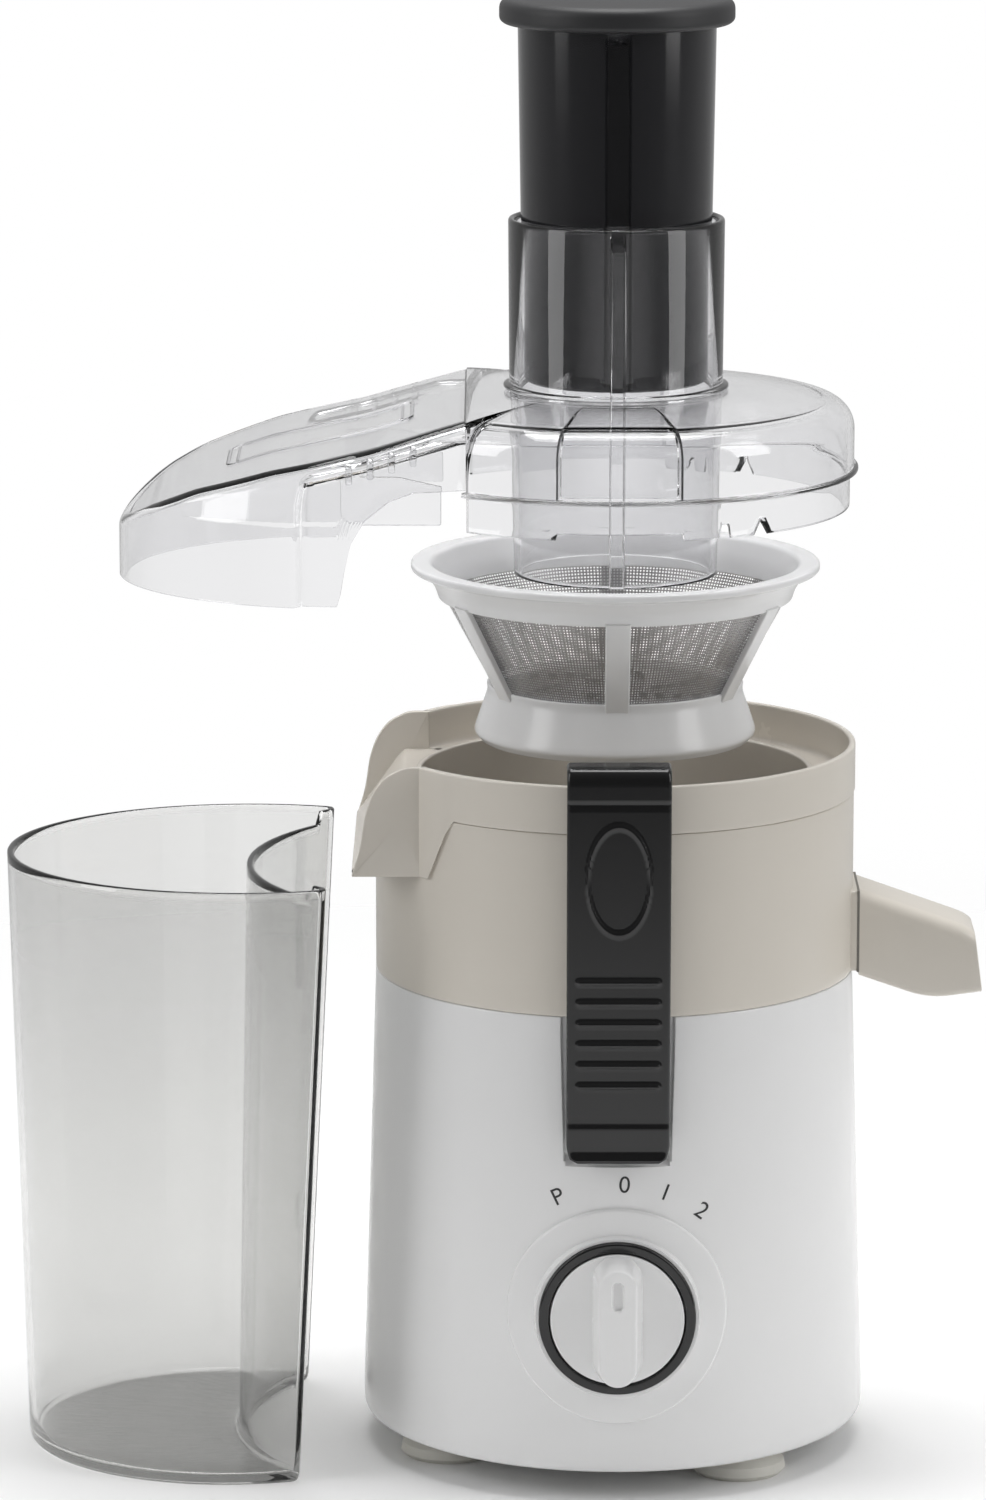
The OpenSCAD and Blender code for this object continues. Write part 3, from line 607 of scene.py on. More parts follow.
def tubeRings(a, b, half, rTop, rLow, n=24):
    # rings between the upper line a and the lower line b: a rounded rectangle in each
    a, b = evenly(a, n), evenly(b, n)
    height = np.linalg.norm(a - b, axis=1)
    rings = []
    for i in range(n):
        h = height[i]
        loop = corner([(-half, 0), (half, 0), (half, h), (-half, h)], [rLow, rLow, rTop, rTop], 6, closed=True)
        p = b[i] + (a[i] - b[i]) * (loop[:, 1] / h)[:, None]
        rings.append(np.stack([p[:, 0], loop[:, 0], p[:, 1]], -1))
    return np.stack(rings)


outerRings = tubeRings(upper, lower, spout["half"], 5.5, 2.4)
innerRings = tubeRings(upperIn, lowerIn, spout["half"] - spout["wall"], 3.8, 1.4)
lipRing = (outerRings[-1] * 0.6 + innerRings[-1] * 0.4)[None] + [0.35, 0, 0]
lipIn = (outerRings[-1] * 0.25 + innerRings[-1] * 0.75)[None] + [0.2, 0, 0]
place(meshOf("spout_moulding", [(np.concatenate([outerRings, lipRing, lipIn, innerRings[::-1]]), True, True)],
             finish["beigeAbs"]), "base", "beige_abs", "juice_spout")

# ---- locking arms ----

print("juicer: arms")
arm = {"half": 17.0, "round": 1.4, "pivot": (84.5, 122.5), "ajar": 3.0, "tuckFrom": 124.0, "tuck": 5.0,
       "bars": 6, "barPitch": 7.1, "barLow": 143.8, "barHalf": (14.0, 1.3), "barUp": 0.9,
       "oval": (10.2, 18.2), "ovalAt": 213.6, "ovalUp": 0.6, "lineLow": 237.0, "lineDeep": 0.35}
front = corner([(82, 131), (82, 243.6), (77.2, 244.0), (75.6, 246), (75.6, 249.2), (77.2, 251), (85.4, 251),
                (88, 248), (88, 131), (88.3, 129.4), (88.2, 121), (89.3, 118.4), (88.2, 117.2), (84, 117.4),
                (81.4, 120.5)], [0.8, 1, 1.2, 0.8, 0.8, 1.2, 2.4, 2.6, 0.6, 0.8, 1.0, 0.9, 1.2, 2.0, 1.5],
               6, closed=True)
loop = denseLoop(front, 0.55)
outward = loop - inset(loop, 1.0)
nearEdge = np.array([15.9, 16.4, 16.75, 16.95, arm["half"]])
across = np.concatenate([-nearEdge[::-1], np.linspace(-15.2, 15.2, 66), nearEdge])
zz, xx = loop[:, 1][:, None], across[None, :]


def roundOff(t):
    # how far a quarter circle has fallen at t from 0 to 1
    return 1 - np.sqrt(1 - np.clip(t, 0, 1) ** 2)


rounding = arm["round"] * roundOff((np.abs(xx) - arm["half"] + arm["round"]) / arm["round"])
tuck = np.where(zz < arm["tuckFrom"], arm["tuck"] * roundOff((arm["tuckFrom"] - zz) / 7.2), 0)
isFront = ((loop[:, 0] > 86.2) & (outward[:, 0] > 0.7))[:, None]
# raised on the front: an oval outline, then a stack of bars for the thumb, and a shallow line below the top
oval = np.abs(np.hypot(xx / arm["oval"][0], (zz - arm["ovalAt"]) / arm["oval"][1]) - 1) * 12
lift = arm["ovalUp"] * (1 - smooth(oval, 0.3, 0.9))
count = np.clip(np.round((zz - arm["barLow"]) / arm["barPitch"]), 0, arm["bars"] - 1)
bar = boxDistance(xx, zz - arm["barLow"] - arm["barPitch"] * count, *arm["barHalf"], arm["barHalf"][1])
lift = np.maximum(lift, arm["barUp"] * smooth(-bar, -0.1, 1.1))
lineTop = arm["lineLow"] + 2.5
line = smooth(zz, arm["lineLow"], lineTop) * (1 - smooth(zz, lineTop, lineTop + 0.7))
height = np.where(isFront, lift - arm["lineDeep"] * line, 0) - rounding
sideways = xx * (1 - tuck / arm["half"] * smooth(np.abs(xx), 8, arm["half"])) + 0 * zz
side = np.stack([sideways, loop[:, 0][:, None] + outward[:, 0][:, None] * height,
                 loop[:, 1][:, None] + outward[:, 1][:, None] * height], -1)
cap = side[:, [0, -1]].copy()
cap[..., 1], cap[..., 2] = 85.0, np.clip(cap[..., 2], 119.5, 249.5)
side = np.concatenate([cap[:, :1], side, cap[:, 1:]], 1)
t = math.radians(arm["ajar"])
dy, dz = side[..., 1] - arm["pivot"][0], side[..., 2] - arm["pivot"][1]
side[..., 1] = arm["pivot"][0] + dy * math.cos(t) + dz * math.sin(t)
side[..., 2] = arm["pivot"][1] - dy * math.sin(t) + dz * math.cos(t)
for sign, tag in ((-1, "front"), (1, "rear")):
    place(meshOf("locking_arm_" + tag, [(side * [1, sign, 1], True, False)], finish["blackAbs"], 40),
          tag + "_arm", "black_abs", "arm_" + tag)

# ---- lid and hood: one clear moulding, a domed disc with pockets that runs on into the hood ----

print("juicer: lid and hood")
lid = {"wall": 2.2, "outer": 79.6, "top": 27.0, "dome": 3.0, "shoulder": 10.0, "hole": 35.6, "skirtDeep": 12.0,
       "pocketHalf": 19.5, "pocketFloor": 73.2, "low": 1.6}
hood = {"top": [(-166, -21), (-162, -14), (-154, -7.5), (-137, 0.8), (-113, 8.4), (-83, 15), (-60, 21.8),
                (-50, 24.6), (-40, 26.2), (-20, 27)],
        "start": -50.0, "end": -86.0, "a": 80.0, "b": 73.0, "half": 62.0, "recess": 4.0, "lean": 0.486,
        "crest": 4.0, "edge": [(-200, -35), (-91.5, -35), (-90.5, -27), (-87.5, -14.5), (-83, -7), (-75, -1),
                               (-67, 1.6), (0, 1.6)]}
fz = level["flange"]
fineX = np.linspace(hood["top"][0][0], hood["top"][-1][0], 320)
fineZ = np.interp(fineX, *zip(*hood["top"]))
for turn in range(40):
    fineZ[1:-1] = 0.25 * fineZ[:-2] + 0.5 * fineZ[1:-1] + 0.25 * fineZ[2:]


def topHeight(x):
    return np.interp(x, fineX, fineZ)


def lidRows(offset):
    # one profile a column: up the wall, round the shoulder, in over the dome; at the hood only the dome is left
    deg = lidAngles[None, :]
    a = np.radians(deg)
    reach = np.full_like(a, lid["outer"])
    pocket = lid["pocketFloor"] / np.maximum(np.abs(np.sin(a)), 0.5)
    inPocket = np.abs(np.abs(np.cos(a)) * pocket) < lid["pocketHalf"]
    reach = np.where(inPocket, pocket, reach) - offset
    crown = lid["top"] - offset - lid["dome"]
    bend = max(lid["shoulder"] - offset, 1)
    theta = np.radians(np.linspace(0, 90, 19))[:, None]
    wallZ = np.linspace(lid["low"], crown - bend, 16)[:-1, None]
    rows = [np.stack([reach + 0 * wallZ, wallZ + 0 * reach], -1),
            np.stack([reach - bend * (1 - np.cos(theta)), crown - bend * (1 - np.sin(theta)) + 0 * reach], -1)]
    t = np.linspace(0, 1, 26)[1:, None]
    r = (reach - bend) * (1 - t) + lid["hole"] * t
    dome = lid["dome"] * (1 - np.clip((r - 40) / np.maximum(reach - bend - 40, 1), 0, 1) ** 2)
    rows.append(np.stack([r, crown + dome], -1))
    rz = np.concatenate(rows)
    atHood = np.abs(deg - 180) < math.degrees(math.atan2(hood["half"], -hood["start"]))
    stop = hood["start"] / np.minimum(np.cos(a), -0.3)
    t = np.linspace(0, 1, len(rz))[:, None]
    r = np.where(atHood, stop * (1 - t) + lid["hole"] * t, rz[..., 0])
    x = r * np.cos(a)
    share = smooth(-x, 18, -hood["start"])
    flat = lid["top"] - lid["dome"] * (np.clip(r - 40, 0, None) / 30) ** 2
    z = np.where(atHood, flat * (1 - share) + topHeight(x) * share - offset, rz[..., 1])
    return np.stack([x, r * np.sin(a), z], -1)


lidAngles = anglesWith([(90 - 15.8, 90 - 14.0), (90 + 14.0, 90 + 15.8), (270 - 15.8, 270 - 14.0),
                        (270 + 14.0, 270 + 15.8), (128.6, 129.4), (230.6, 231.4)], 2.0, 0.2)
lidGrid = np.concatenate([lidRows(0.0), lidRows(lid["wall"])[::-1]])


def hoodRows(offset):
    # sections across the hood at each station, from one wall's foot over the crest to the other's
    t = np.linspace(0, 1, 40)[:-1]
    plain = hood["start"] + (hood["end"] - hood["start"]) * t
    swing = np.concatenate([np.arange(0, 8, 0.9), np.arange(8, 21, 0.4), np.arange(21, 90, 1.1), [90]])
    swing = np.radians(swing)
    bx = np.concatenate([plain, hood["end"] - hood["a"] * np.sin(swing)])
    by = np.concatenate([hood["half"] + (hood["b"] - hood["half"]) * np.sin(t * math.pi / 2),
                         hood["b"] * np.cos(swing)])
    nx = np.concatenate([0 * t, -np.sin(swing) * hood["b"]])
    ny = np.concatenate([0 * t + 1, np.cos(swing) * hood["a"]])
    nx, ny = nx / np.hypot(nx, ny), ny / np.hypot(nx, ny)
    lean = hood["lean"] * np.concatenate([t, np.cos(swing) ** 0.5])
    bend = hood["crest"] - offset
    zc = topHeight(bx)
    for turn in range(8):
        back = lean * np.clip(zc + 8, 0, None) + offset + bend
        zc = 0.5 * zc + 0.5 * (topHeight(bx - nx * back) - offset)
    foot = np.interp(bx, *zip(*hood["edge"]))
    v = np.linspace(0, 1, 64)[:, None]
    z = foot + (zc - bend - foot) * v
    theta = np.radians(np.linspace(0, 90, 13))[1:, None]
    z = np.concatenate([z, zc - bend + bend * np.sin(theta)])
    back = lean * np.clip(np.minimum(z, zc - bend) + 8, 0, None) + offset
    back[64:] += bend * (1 - np.cos(theta))
    x, y = bx - nx * back, by - ny * back
    arch = smooth(-boxDistance(x + 45, z + 40, 60, 58, 22), -1.2, 1.2)
    arch = arch * smooth(topHeight(x) - offset - z, 3.2, 5.6)
    x, y = x - nx * hood["recess"] * arch * ny, y - ny * hood["recess"] * arch * ny
    front = np.stack([x, -np.clip(y, 0, None), z], -1)
    s = np.linspace(1, -1, 41)[1:-1, None]
    top = np.stack([x[-1] + 0 * s, -np.clip(y[-1], 0, None) * s, zc + 0 * s], -1)
    return np.concatenate([front, top, front[::-1] * [1, -1, 1]])


outerHood, innerHood = hoodRows(0.0), hoodRows(lid["wall"])
mouth = 0.5 * (outerHood[:, :1] + innerHood[:, :1])
hoodGrid = np.concatenate([np.concatenate([mouth, outerHood], 1), np.concatenate([mouth, innerHood], 1)[::-1]])
lidGrid[..., 2] += fz
hoodGrid[..., 2] += fz
place(meshOf("lid_hood_moulding", [(lidGrid, True, True), (hoodGrid, True, False)], finish["clearSan"], 50),
      "lid", "clear_san", "lid_cover", "pulp_hood")

# the flange and skirt run round to the hood on either side, with steps below the pockets and two slots
skirtEnd = 129.5
skirtAngles = np.unique(np.concatenate([np.arange(-skirtEnd, skirtEnd + 0.01, 2), [-skirtEnd, skirtEnd],
                                        np.arange(-105, -60, 0.3), np.arange(75, 105, 0.3)]))
skirtLoop = corner([(76, -12), (78.2, -12), (78.2, -0.1), (81, 0), (81, 1.55), (78.6, 1.58), (77.2, 1.5),
                    (76, 0)], [0.7, 0.7, 0.8, 0.5, 0.7, 0.3, 0.5, 0.5], 4, closed=True)
skirt = turned(denseLoop(skirtLoop, 2.5), skirtAngles)
sx = skirt[..., 0]
under = smooth(-np.abs(sx), -20.8, -20.2) * 2.2 + smooth(-np.abs(sx - 34.2), -1.7, -1.2) * 4.4 \
    + smooth(-np.abs(sx - 46), -1.9, -1.4) * 5
skirt[..., 2] = np.where(skirt[..., 2] < 0, skirt[..., 2] * (1 - under / lid["skirtDeep"]), skirt[..., 2]) + fz
place(meshOf("lid_flange_moulding", [(skirt, True, False)], finish["clearSan"], 50), "lid", "clear_san")

# a raised outline on the hood's top, with no lettering in it, and small ribs under the top's edge
panel = denseLoop(corner([(-129, -19), (-68, -19), (-68, 19), (-129, 19)], 5, 8, closed=True), 2.5)


def ridge(loop, width, height):
    # a low rounded strip along a loop of (x, y) points on the hood's top
    rows = []
    for share, h in ((-1 / 2, 0.03), (-1 / 3, height), (1 / 3, height), (1 / 2, 0.03)):
        p = inset(loop, width * share)
        rows.append(np.stack([p[:, 0], p[:, 1], topHeight(p[:, 0]) + h + fz], -1))
    return np.stack(rows)


ribsUnder = []
box = corner([(-1.1, -6.5), (1.1, -6.5), (1.1, 0), (-1.1, 0)], 0.8, 4, closed=True)
for sign in (-1, 1):
    for x in (-88, -81, -74, -67):
        y = 62.5 + (26.5 - topHeight(x)) * 0.2
        rows = []
        for depth, slide, shrink in ((0, 0, 0.05), (0, 0, 1), (2.2, 0, 1), (3.0, 0.5, 0.8), (3.1, 0.8, 0.05)):
            rows.append(np.stack([x + box[:, 0] * shrink, sign * (y - 3.2 + depth + 0 * box[:, 0]),
                                  topHeight(x) - 3.0 + fz + (box[:, 1] + 3) * shrink - 3 - slide], -1))
        ribsUnder.append((np.stack([pinched(rows[0])] + rows + [pinched(rows[-1])]), False, True))
outlines = [(ridge(panel, 1.3, 0.55), True, True), (ridge(inset(panel, 3.2), 0.9, 0.4), True, True)]
place(meshOf("hood_details", outlines + ribsUnder, finish["clearSan"], 50), "lid", "clear_san")

# cheeks that close the hood against the beak
cheek = corner([(-58, 1.0), (-58, -12), (-91, -12), (-91, 4), (-72, 4)], [0.5, 1, 5, 1, 1], 6, closed=True)
cheek = denseLoop(cheek, 4)
cheeks = [(plate(cheek, y, y + 2, 0.4) + [0, 0, fz], False, True) for y in (-46.2, 44.2)]
place(meshOf("hood_cheeks", cheeks, finish["clearSan"], 50), "lid", "clear_san")

# ---- feed tube ----

print("juicer: tube and pusher")
tube = {"low": -35.3, "top": 84.0, "key": 29.4, "keyHalf": 2.5, "keyTop": 80.5, "bore": 33.85}
tubeOut = corner([(34, tube["low"]), (35.2, 26.2), (35.4, 27.2), (37.5, 27.4), (37.6, 28.6), (35.6, 29.0),
                  (36, tube["top"])], [0, 0.4, 0.3, 0.5, 0.6, 0.4, 0], 4)
lipTop = [(36, 83.2), (35.7, 83.8), (35.2, 84), (34.6, 84), (34.1, 83.8), (33.8, 83.2)]
lipLow = [(31.8, -34.7), (32.1, -35.2), (32.6, -35.3), (33.4, -35.3), (33.8, -35.1)]
tubeLoop = np.concatenate([dense(tubeOut[:-1], 4), lipTop, dense([(33.78, 82), (31.8, -34)], 4), lipLow])
tubeAngles = anglesWith([(265.0, 275.0)], 2.0, 0.35)
tubeGrid = turned(tubeLoop, tubeAngles)
radius = np.hypot(tubeGrid[..., 0], tubeGrid[..., 1])
isIn = (radius < tube["bore"]) & (tubeLoop[:, 0] < tube["bore"])[:, None]
key = smooth(-np.abs(tubeGrid[..., 0]), -tube["keyHalf"], -tube["keyHalf"] + 0.5) * (tubeGrid[..., 1] < 0)
key = key * smooth(-tubeGrid[..., 2], -tube["keyTop"], -tube["keyTop"] + 1)
pull = np.where(isIn, key * (radius - tube["key"]), 0)
tubeGrid[..., :2] *= ((radius - pull) / radius)[..., None]
tubeGrid[..., 2] += fz
place(meshOf("feed_tube_moulding", [(tubeGrid, True, True)], finish["clearSan"], 50),
      "lid", "clear_san", "feed_tube")

# ---- pusher ----

pz, capZ = level["pusherFoot"], level["cap"]
capLoop = corner([(0.01, capZ), (37.4, capZ), (39, capZ + 1.4), (39, capZ + 6.4), (37.2, capZ + 8.2),
                  (24, capZ + 10.4), (0.01, capZ + 11.4)], [0, 1, 1, 1.6, 1.8, 12, 0], 7)
capGrid = turned(capLoop, allRound(160))
place(meshOf("pusher_cap_moulding", [(capGrid, False, True)], finish["capAbs"], 30),
      "pusher", "cap_abs", "pusher_cap")

bodyOut = corner([(0.01, pz), (30, pz), (31, pz + 1.2), (32.9, capZ + 0.3)], [0, 1.2, 0.8, 0], 5)
bodyIn = corner([(30.9, capZ + 0.3), (29, pz + 2.4), (0.01, pz + 2.4)], [0, 1.5, 0], 5)
bodyOut, bodyIn = dense(bodyOut, 5), dense(bodyIn, 5)
bodyGrid = turned(np.concatenate([bodyOut, bodyIn]), anglesWith([(259.0, 281.0)], 2.5, 0.4))
radius = np.hypot(bodyGrid[..., 0], bodyGrid[..., 1])
outRows = (np.arange(len(bodyGrid)) < len(bodyOut))[:, None]
halfGroove = np.where(outRows, 4.2, 6.3)
channel = smooth(-np.abs(bodyGrid[..., 0]), -halfGroove - 0.2, -halfGroove + 0.3) * (bodyGrid[..., 1] < 0)
channel *= smooth(-bodyGrid[..., 2], -(capZ - 1.0), -(capZ - 1.8))
limit = np.where(outRows, 28.7, 26.6)
scale = np.where(radius > limit, (radius * (1 - channel) + limit * channel) / np.maximum(radius, 1), 1)
bodyGrid[..., :2] *= scale[..., None]
place(meshOf("pusher_body_moulding", [(bodyGrid, True, True)], finish["smokeSan"], 40),
      "pusher", "smoke_san", "pusher_body")

# ---- basket ----

print("juicer: basket and sieve")
bz = level["basketTop"] - 235.5
rimLoop = corner([(57.4, 223.5), (58.6, 228.6), (61.6, 235.4), (68.5, 235.5), (68.5, 233.0), (64, 232.3),
                  (60.6, 227.4), (59.3, 223.5)], [0.4, 2, 1.6, 1.1, 0.9, 2.0, 1.5, 0.4], 6, closed=True)
cupLoop = corner([(0.01, 191.0), (41.0, 191.0), (41.3, 194.3), (43.1, 194.3), (42.8, 191.8), (44.0, 188.0),
                  (47.0, 179.4), (47.3, 177.6), (44.9, 175.1), (43.6, 175.1), (45.3, 178.8), (43.0, 185.0),
                  (41.5, 187.4), (33, 187.4), (33, 173.1), (30.6, 173.1), (30.6, 187.4), (18, 187.4),
                  (18, 174.5), (15.3, 174.5), (15.3, 187.6), (0.01, 187.6)],
                 [0, 0.4, 0.4, 0.5, 1.2, 3.0, 0.8, 0.9, 0.5, 0.5, 1, 2, 1, 1, 0.6, 0.6, 1, 1, 0.6, 0.6,
                  0.6, 0], 5)
rimLoop[:, 1] += bz
cupLoop[:, 1] += bz
# six ribs lean out from the cup to the rim, each with a fine ridge down its middle
ribZ = np.linspace(190.4, 224.6, 26)
ribT = np.linspace(0, 1, 26)
ribR = 42.4 + (58.6 - 42.4) * (ribZ - 193.2) / (223.6 - 193.2)
section = corner([(-4, -0.9), (-4, 0.9), (4, 0.9), (4, -0.9)], 0.6, 4, closed=True)
section[:, 1] += 0.35 * np.exp(-(section[:, 0] / 0.6) ** 2) * (section[:, 1] > 0)
ribs = []
for i in range(6):
    a = math.radians(30 + 60 * i)
    radial, sideways = np.array([math.cos(a), math.sin(a)]), np.array([-math.sin(a), math.cos(a)])
    r = ribR[:, None] + 0.2 + section[None, :, 1]
    w = section[None, :, 0] * (1 + 0.05 * ribT[:, None])
    rib = np.stack([r * radial[0] + w * sideways[0], r * radial[1] + w * sideways[1],
                    ribZ[:, None] + bz - section[None, :, 1] * 0.5 + 0 * w], -1)
    ribs.append((np.concatenate([pinched(rib[0])[None], rib, pinched(rib[-1])[None]]), False, True))
place(meshOf("basket_moulding", [(turned(rimLoop, allRound(200)), True, True),
                                 (turned(cupLoop, allRound(180)), False, True)] + ribs, finish["whiteAbs"], 36),
      "basket", "white_abs", "basket_frame")

# sieve: a sheet of square holes, pitch about 1.1 mm, each cell a frame of four strips
sieve = {"rows": 32, "round": 300, "lowR": 41.1, "lowZ": 193.4, "topR": 57.3, "topZ": 223.6, "bar": 0.46}
v, u = np.meshgrid(np.arange(sieve["rows"]), np.arange(sieve["round"]), indexing="ij")


def onCone(u, v):
    t = v / sieve["rows"]
    r = sieve["lowR"] + (sieve["topR"] - sieve["lowR"]) * t
    a = 2 * np.pi * u / sieve["round"]
    z = sieve["lowZ"] + (sieve["topZ"] - sieve["lowZ"]) * t + bz
    return np.stack([r * np.cos(a), r * np.sin(a), z], -1)


squares = []
for low in (0, sieve["bar"] / 2):
    ends = ((low, low), (1 - low, low), (1 - low, 1 - low), (low, 1 - low))
    squares.append(np.stack([onCone(u + du, v + dv) for du, dv in ends], -2).reshape(-1, 4, 3))
cell = np.concatenate(squares, 1)
strips = np.array([[0, 1, 5, 4], [1, 2, 6, 5], [2, 3, 7, 6], [3, 0, 4, 7]])
quads = (np.arange(len(cell))[:, None, None] * 8 + strips[None]).reshape(-1, 4)
sieveMesh = shown(*meshFrom("sieve_mesh", cell.reshape(-1, 3) * mm, quads, 4e-6), finish["etchedStainless"])
place(sieveMesh, "basket", "etched_stainless", "mesh_screen")

# ---- pulp container ----

print("juicer: container")
tub = {"dock": -35.0, "mid": -168.0, "rim": level["containerTop"], "wall": 2.2, "floor": 3.0, "step": 4.5}


def tubArcs(sx, sy, notchR, n=150):
    # outer arc from one wing tip round the far end to the other, and the notch's arc back, n points in each
    cx, a, b = -168 + 43 * sx, 80 * sx, 72 * sy
    tipX = -168 + 72 * sx
    yo = b * math.sqrt(1 - ((tipX - cx) / a) ** 2)
    yn = math.sqrt(notchR ** 2 - (tipX - tub["dock"]) ** 2)
    t0 = math.acos((tipX - cx) / a)
    t = np.linspace(t0, 2 * math.pi - t0, 160)
    outer = np.stack([cx + a * np.cos(t), b * np.sin(t)], -1)
    n0 = math.atan2(yn, tipX - tub["dock"])
    s = np.linspace(2 * math.pi - n0, n0, 120)
    notch = np.stack([tub["dock"] + notchR * np.cos(s), notchR * np.sin(s)], -1)
    ring = np.concatenate([outer, notch])
    k0, k1 = len(outer) - 1, len(outer)
    radii = np.zeros(len(ring))
    radii[[0, k0, k1, -1]] = 2.45
    # the tips' two corners are eased, the rest of the points are kept
    keep = np.ones(len(ring), bool)
    for i in (0, k0, k1, len(ring) - 1):
        gap = np.linalg.norm(ring - ring[i], axis=1)
        keep &= (gap > 2.3) | (np.arange(len(ring)) == i)
    ring, radii = ring[keep], radii[keep]
    ring = corner(ring, radii, 8, closed=True)
    # cut again at the middle of each tip, so that both arcs have n points
    tips = [i for i in range(len(ring)) if abs(ring[i, 0] - tipX) < 0.35]
    upperTip = min(tips, key=lambda i: abs(ring[i, 1] - (yo + yn) / 2))
    lowerTip = min(tips, key=lambda i: abs(ring[i, 1] + (yo + yn) / 2))
    ring = np.roll(ring, -upperTip, 0)
    lowerTip = (lowerTip - upperTip) % len(ring)
    a1 = evenly(ring[:lowerTip + 1], n)
    a2 = evenly(np.concatenate([ring[lowerTip:], ring[:1]]), n)
    return a1, a2


topArcs, lowArcs = tubArcs(1, 1, 87), tubArcs(0.862, 0.917, 91)
topLoop = np.concatenate([topArcs[0][:-1], topArcs[1][:-1]])
lowLoop = np.concatenate([lowArcs[0][:-1], lowArcs[1][:-1]])
half = len(topArcs[0]) - 1
# how far each point of the loop is along the notch, for the rim's step
alongNotch = np.concatenate([np.zeros(half), smooth(np.minimum(np.arange(half), np.arange(half)[::-1]), 7, 9)])


def tubRow(z, d, rimRow=False):
    t = z / tub["rim"]
    loop = lowLoop * (1 - t) + topLoop * t
    loop = inset(loop, d) if d else loop
    h = np.full(len(loop), float(z))
    if rimRow:
        h = h - tub["step"] * alongNotch
    return np.concatenate([loop, h[:, None]], 1)


rows = [tubRow(0.0, 2.4), tubRow(0.25, 1.3), tubRow(0.8, 0.6), tubRow(1.6, 0.2), tubRow(2.8, 0.0)]
rows += [tubRow(z, 0.0) for z in np.linspace(8, tub["rim"] - 12, 14)]
for z, d in ((6.5, 0.0), (3.2, 0.0), (0.55, 0.0), (0.15, 0.25), (0.0, 0.7), (0.0, 1.5), (0.15, 1.95),
             (0.55, 2.2), (3.2, 2.2)):
    rows.append(tubRow(tub["rim"] - z, d, True))
rows += [tubRow(z, 2.2) for z in np.linspace(tub["rim"] - 12, 9, 14)]
rows += [tubRow(5.4, 2.3), tubRow(4.0, 2.8), tubRow(3.3, 3.8), tubRow(3.0, 5.0)]
walls = np.stack(rows)


def ruled(row, steps=10):
    # lines from the outer arc to the notch's arc fill the kidney shape
    loop = np.concatenate([row, row[:1]])
    first, second = loop[:half + 1], loop[half:][::-1]
    return between(first, second, steps)


under, above = ruled(walls[0]), ruled(walls[-1])
# the sprue mark in the floor
gate = np.hypot(above[..., 0] + 161, above[..., 1])
above[..., 2] += 0.5 * np.exp(-(gate / 1.8) ** 2)
place(meshOf("container_moulding", [(walls, False, True), (under, False, False), (above, False, False)],
             finish["containerSan"], 50), "container", "container_san", "pulp_container")

# ---- room, lamps and camera ----

print("juicer: room and camera")


def lamp(name, spot, aim, size, power, tall=None):
    light = bpy.data.lights.new(name, "AREA")
    light.energy, light.size = power, size
    light.shape = "RECTANGLE"
    light.size_y = tall or size
    holder = bpy.data.objects.new(name, light)
    bpy.context.collection.objects.link(holder)
    holder.location = spot
    holder.rotation_euler = (Vector(aim) - Vector(spot)).to_track_quat("-Z", "Y").to_euler()
    return holder


room = {"sky": "#FFFFFF", "front": 0.14, "back": 0.5, "floor": "#FAFAFA", "reach": 12.0}
world = bpy.data.worlds.new("studio")
bpy.context.scene.world = world
world.use_nodes = True
sky = world.node_tree
seen = sky.nodes["Background"]
seen.inputs["Color"].default_value = linear(room["sky"])
path = add(sky, "LightPath")
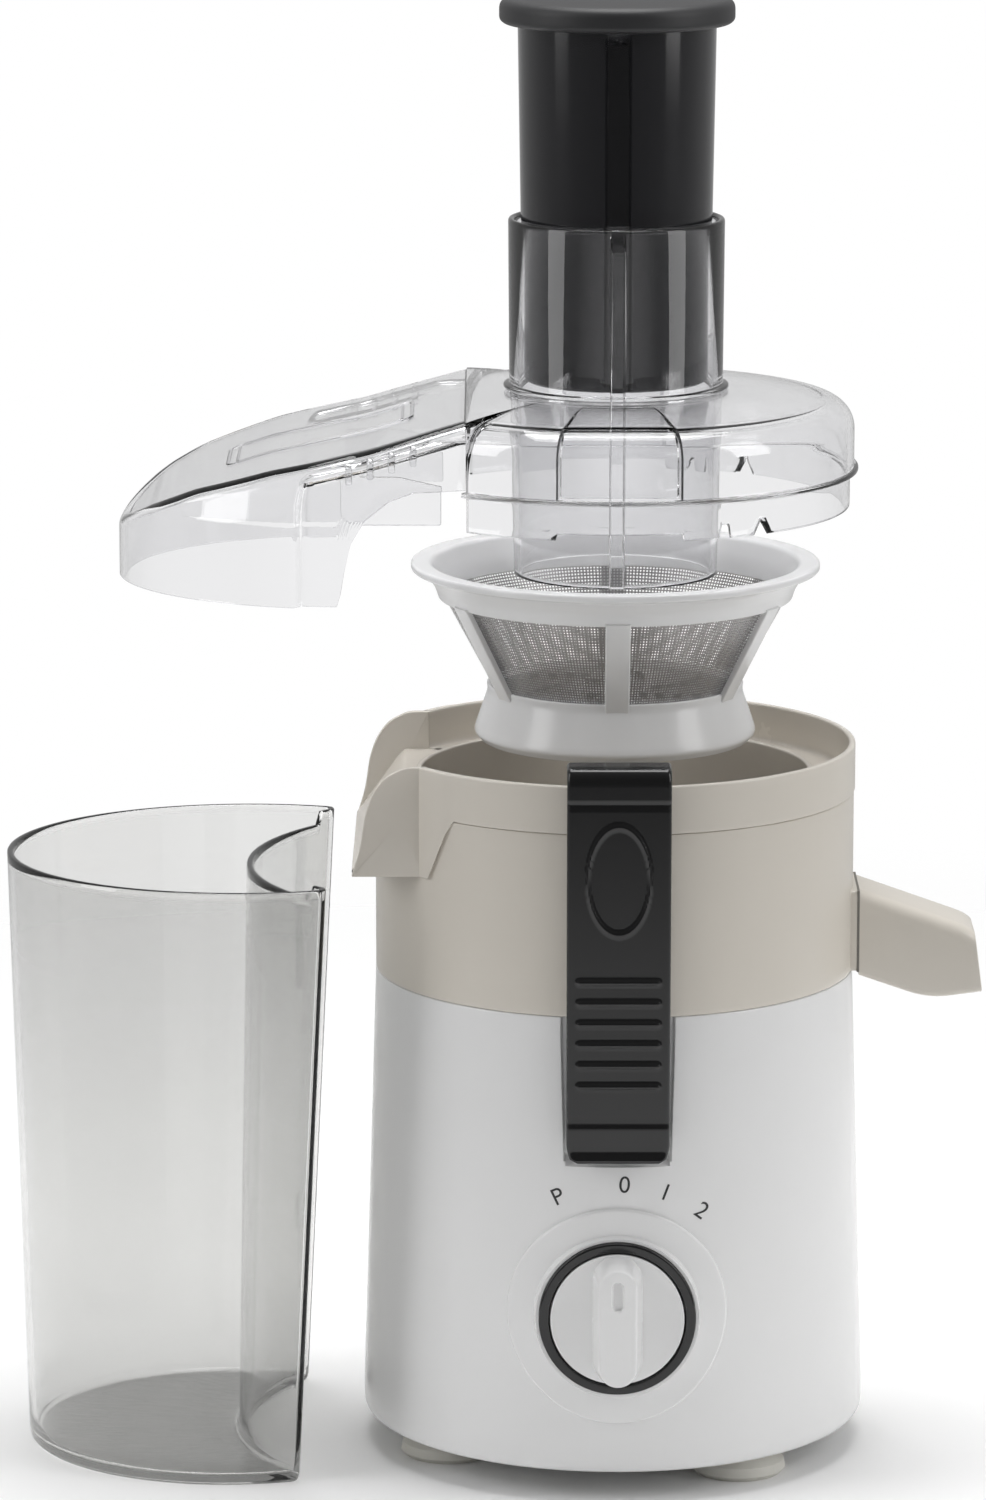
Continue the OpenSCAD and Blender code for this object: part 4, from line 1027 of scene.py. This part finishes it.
# a bright backdrop stands behind the object; seen through clear plastic it falls off to the sides
heading = add(sky, "SeparateXYZ", {}, {0: (add(sky, "TexCoord"), "Generated")})
fall = add(sky, "MapRange",
           {"From Min": -1.0, "From Max": 0.4, "To Min": room["front"], "To Max": room["back"]},
           {"Value": (heading, "Y")})
lit = add(sky, "Background", {"Color": linear(room["sky"])}, {"Strength": (fall, 0)})
along = add(sky, "Math", {"operation": "ABSOLUTE"}, {0: (heading, "Y")})
ahead = add(sky, "MapRange", {"From Min": 0.6, "From Max": 0.96}, {"Value": (along, 0)})
clear = add(sky, "Math", {"operation": "MULTIPLY"}, {0: (path, "Is Transmission Ray"), 1: (ahead, 0)})
share = add(sky, "Math", {"operation": "MAXIMUM"}, {0: (path, "Is Camera Ray"), 1: (clear, 0)})
both = add(sky, "MixShader", {}, {0: (share, 0), 1: (lit, 0), 2: (seen, 0)})
sky.links.new(both.outputs[0], sky.nodes["World Output"].inputs[0])
bpy.context.scene.view_settings.view_transform = "Standard"

floorMesh = bpy.data.meshes.new("floor")
w = room["reach"]
floorMesh.from_pydata([(-w, -w, 0), (w, -w, 0), (w, w, 0), (-w, w, 0)], [], [(0, 1, 2, 3)])
floor = bpy.data.objects.new("floor", floorMesh)
bpy.context.collection.objects.link(floor)
# the table runs out into the backdrop
material, tree, out = blank("white table")
shader = add(tree, "BsdfPrincipled", {"Base Color": linear(room["floor"]), "Roughness": 0.7,
                                      "Specular IOR Level": 0.1})
away = add(tree, "VectorMath", {"operation": "LENGTH"}, {0: (add(tree, "TexCoord"), "Object")})
fade = add(tree, "MapRange", {"From Min": 0.45, "From Max": 0.95}, {"Value": (away, "Value")})
clearPass = add(tree, "BsdfTransparent")
both = add(tree, "MixShader", {}, {0: (fade, 0), 1: (shader, 0), 2: (clearPass, 0)})
tree.links.new(both.outputs[0], out.inputs[0])
floorMesh.materials.append(material)

for holder in (lamp("softbox left", (-1.5, -0.6, 0.9), (-0.04, 0, 0.25), 0.6, 8, 1.4),
               lamp("softbox right", (1.4, -0.6, 0.9), (-0.04, 0, 0.25), 0.6, 8, 1.4),
               lamp("softbox above", (0, 0.25, 2.0), (-0.04, 0.1, 0.0), 1.2, 27)):
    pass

view = {"target": (-0.041, 0.0, 0.238), "far": 2.4, "down": 11.5, "lens": 171.0}
cam = bpy.data.cameras.new("camera")
cam.lens = view["lens"]
eye = bpy.data.objects.new("camera", cam)
bpy.context.collection.objects.link(eye)
e = math.radians(view["down"])
eye.location = Vector(view["target"]) + Vector((0, -math.cos(e), math.sin(e))) * view["far"]
eye.rotation_euler = (Vector(view["target"]) - eye.location).to_track_quat("-Z", "Y").to_euler()
cam.clip_start, cam.clip_end = 0.05, 50
bpy.context.scene.camera = eye
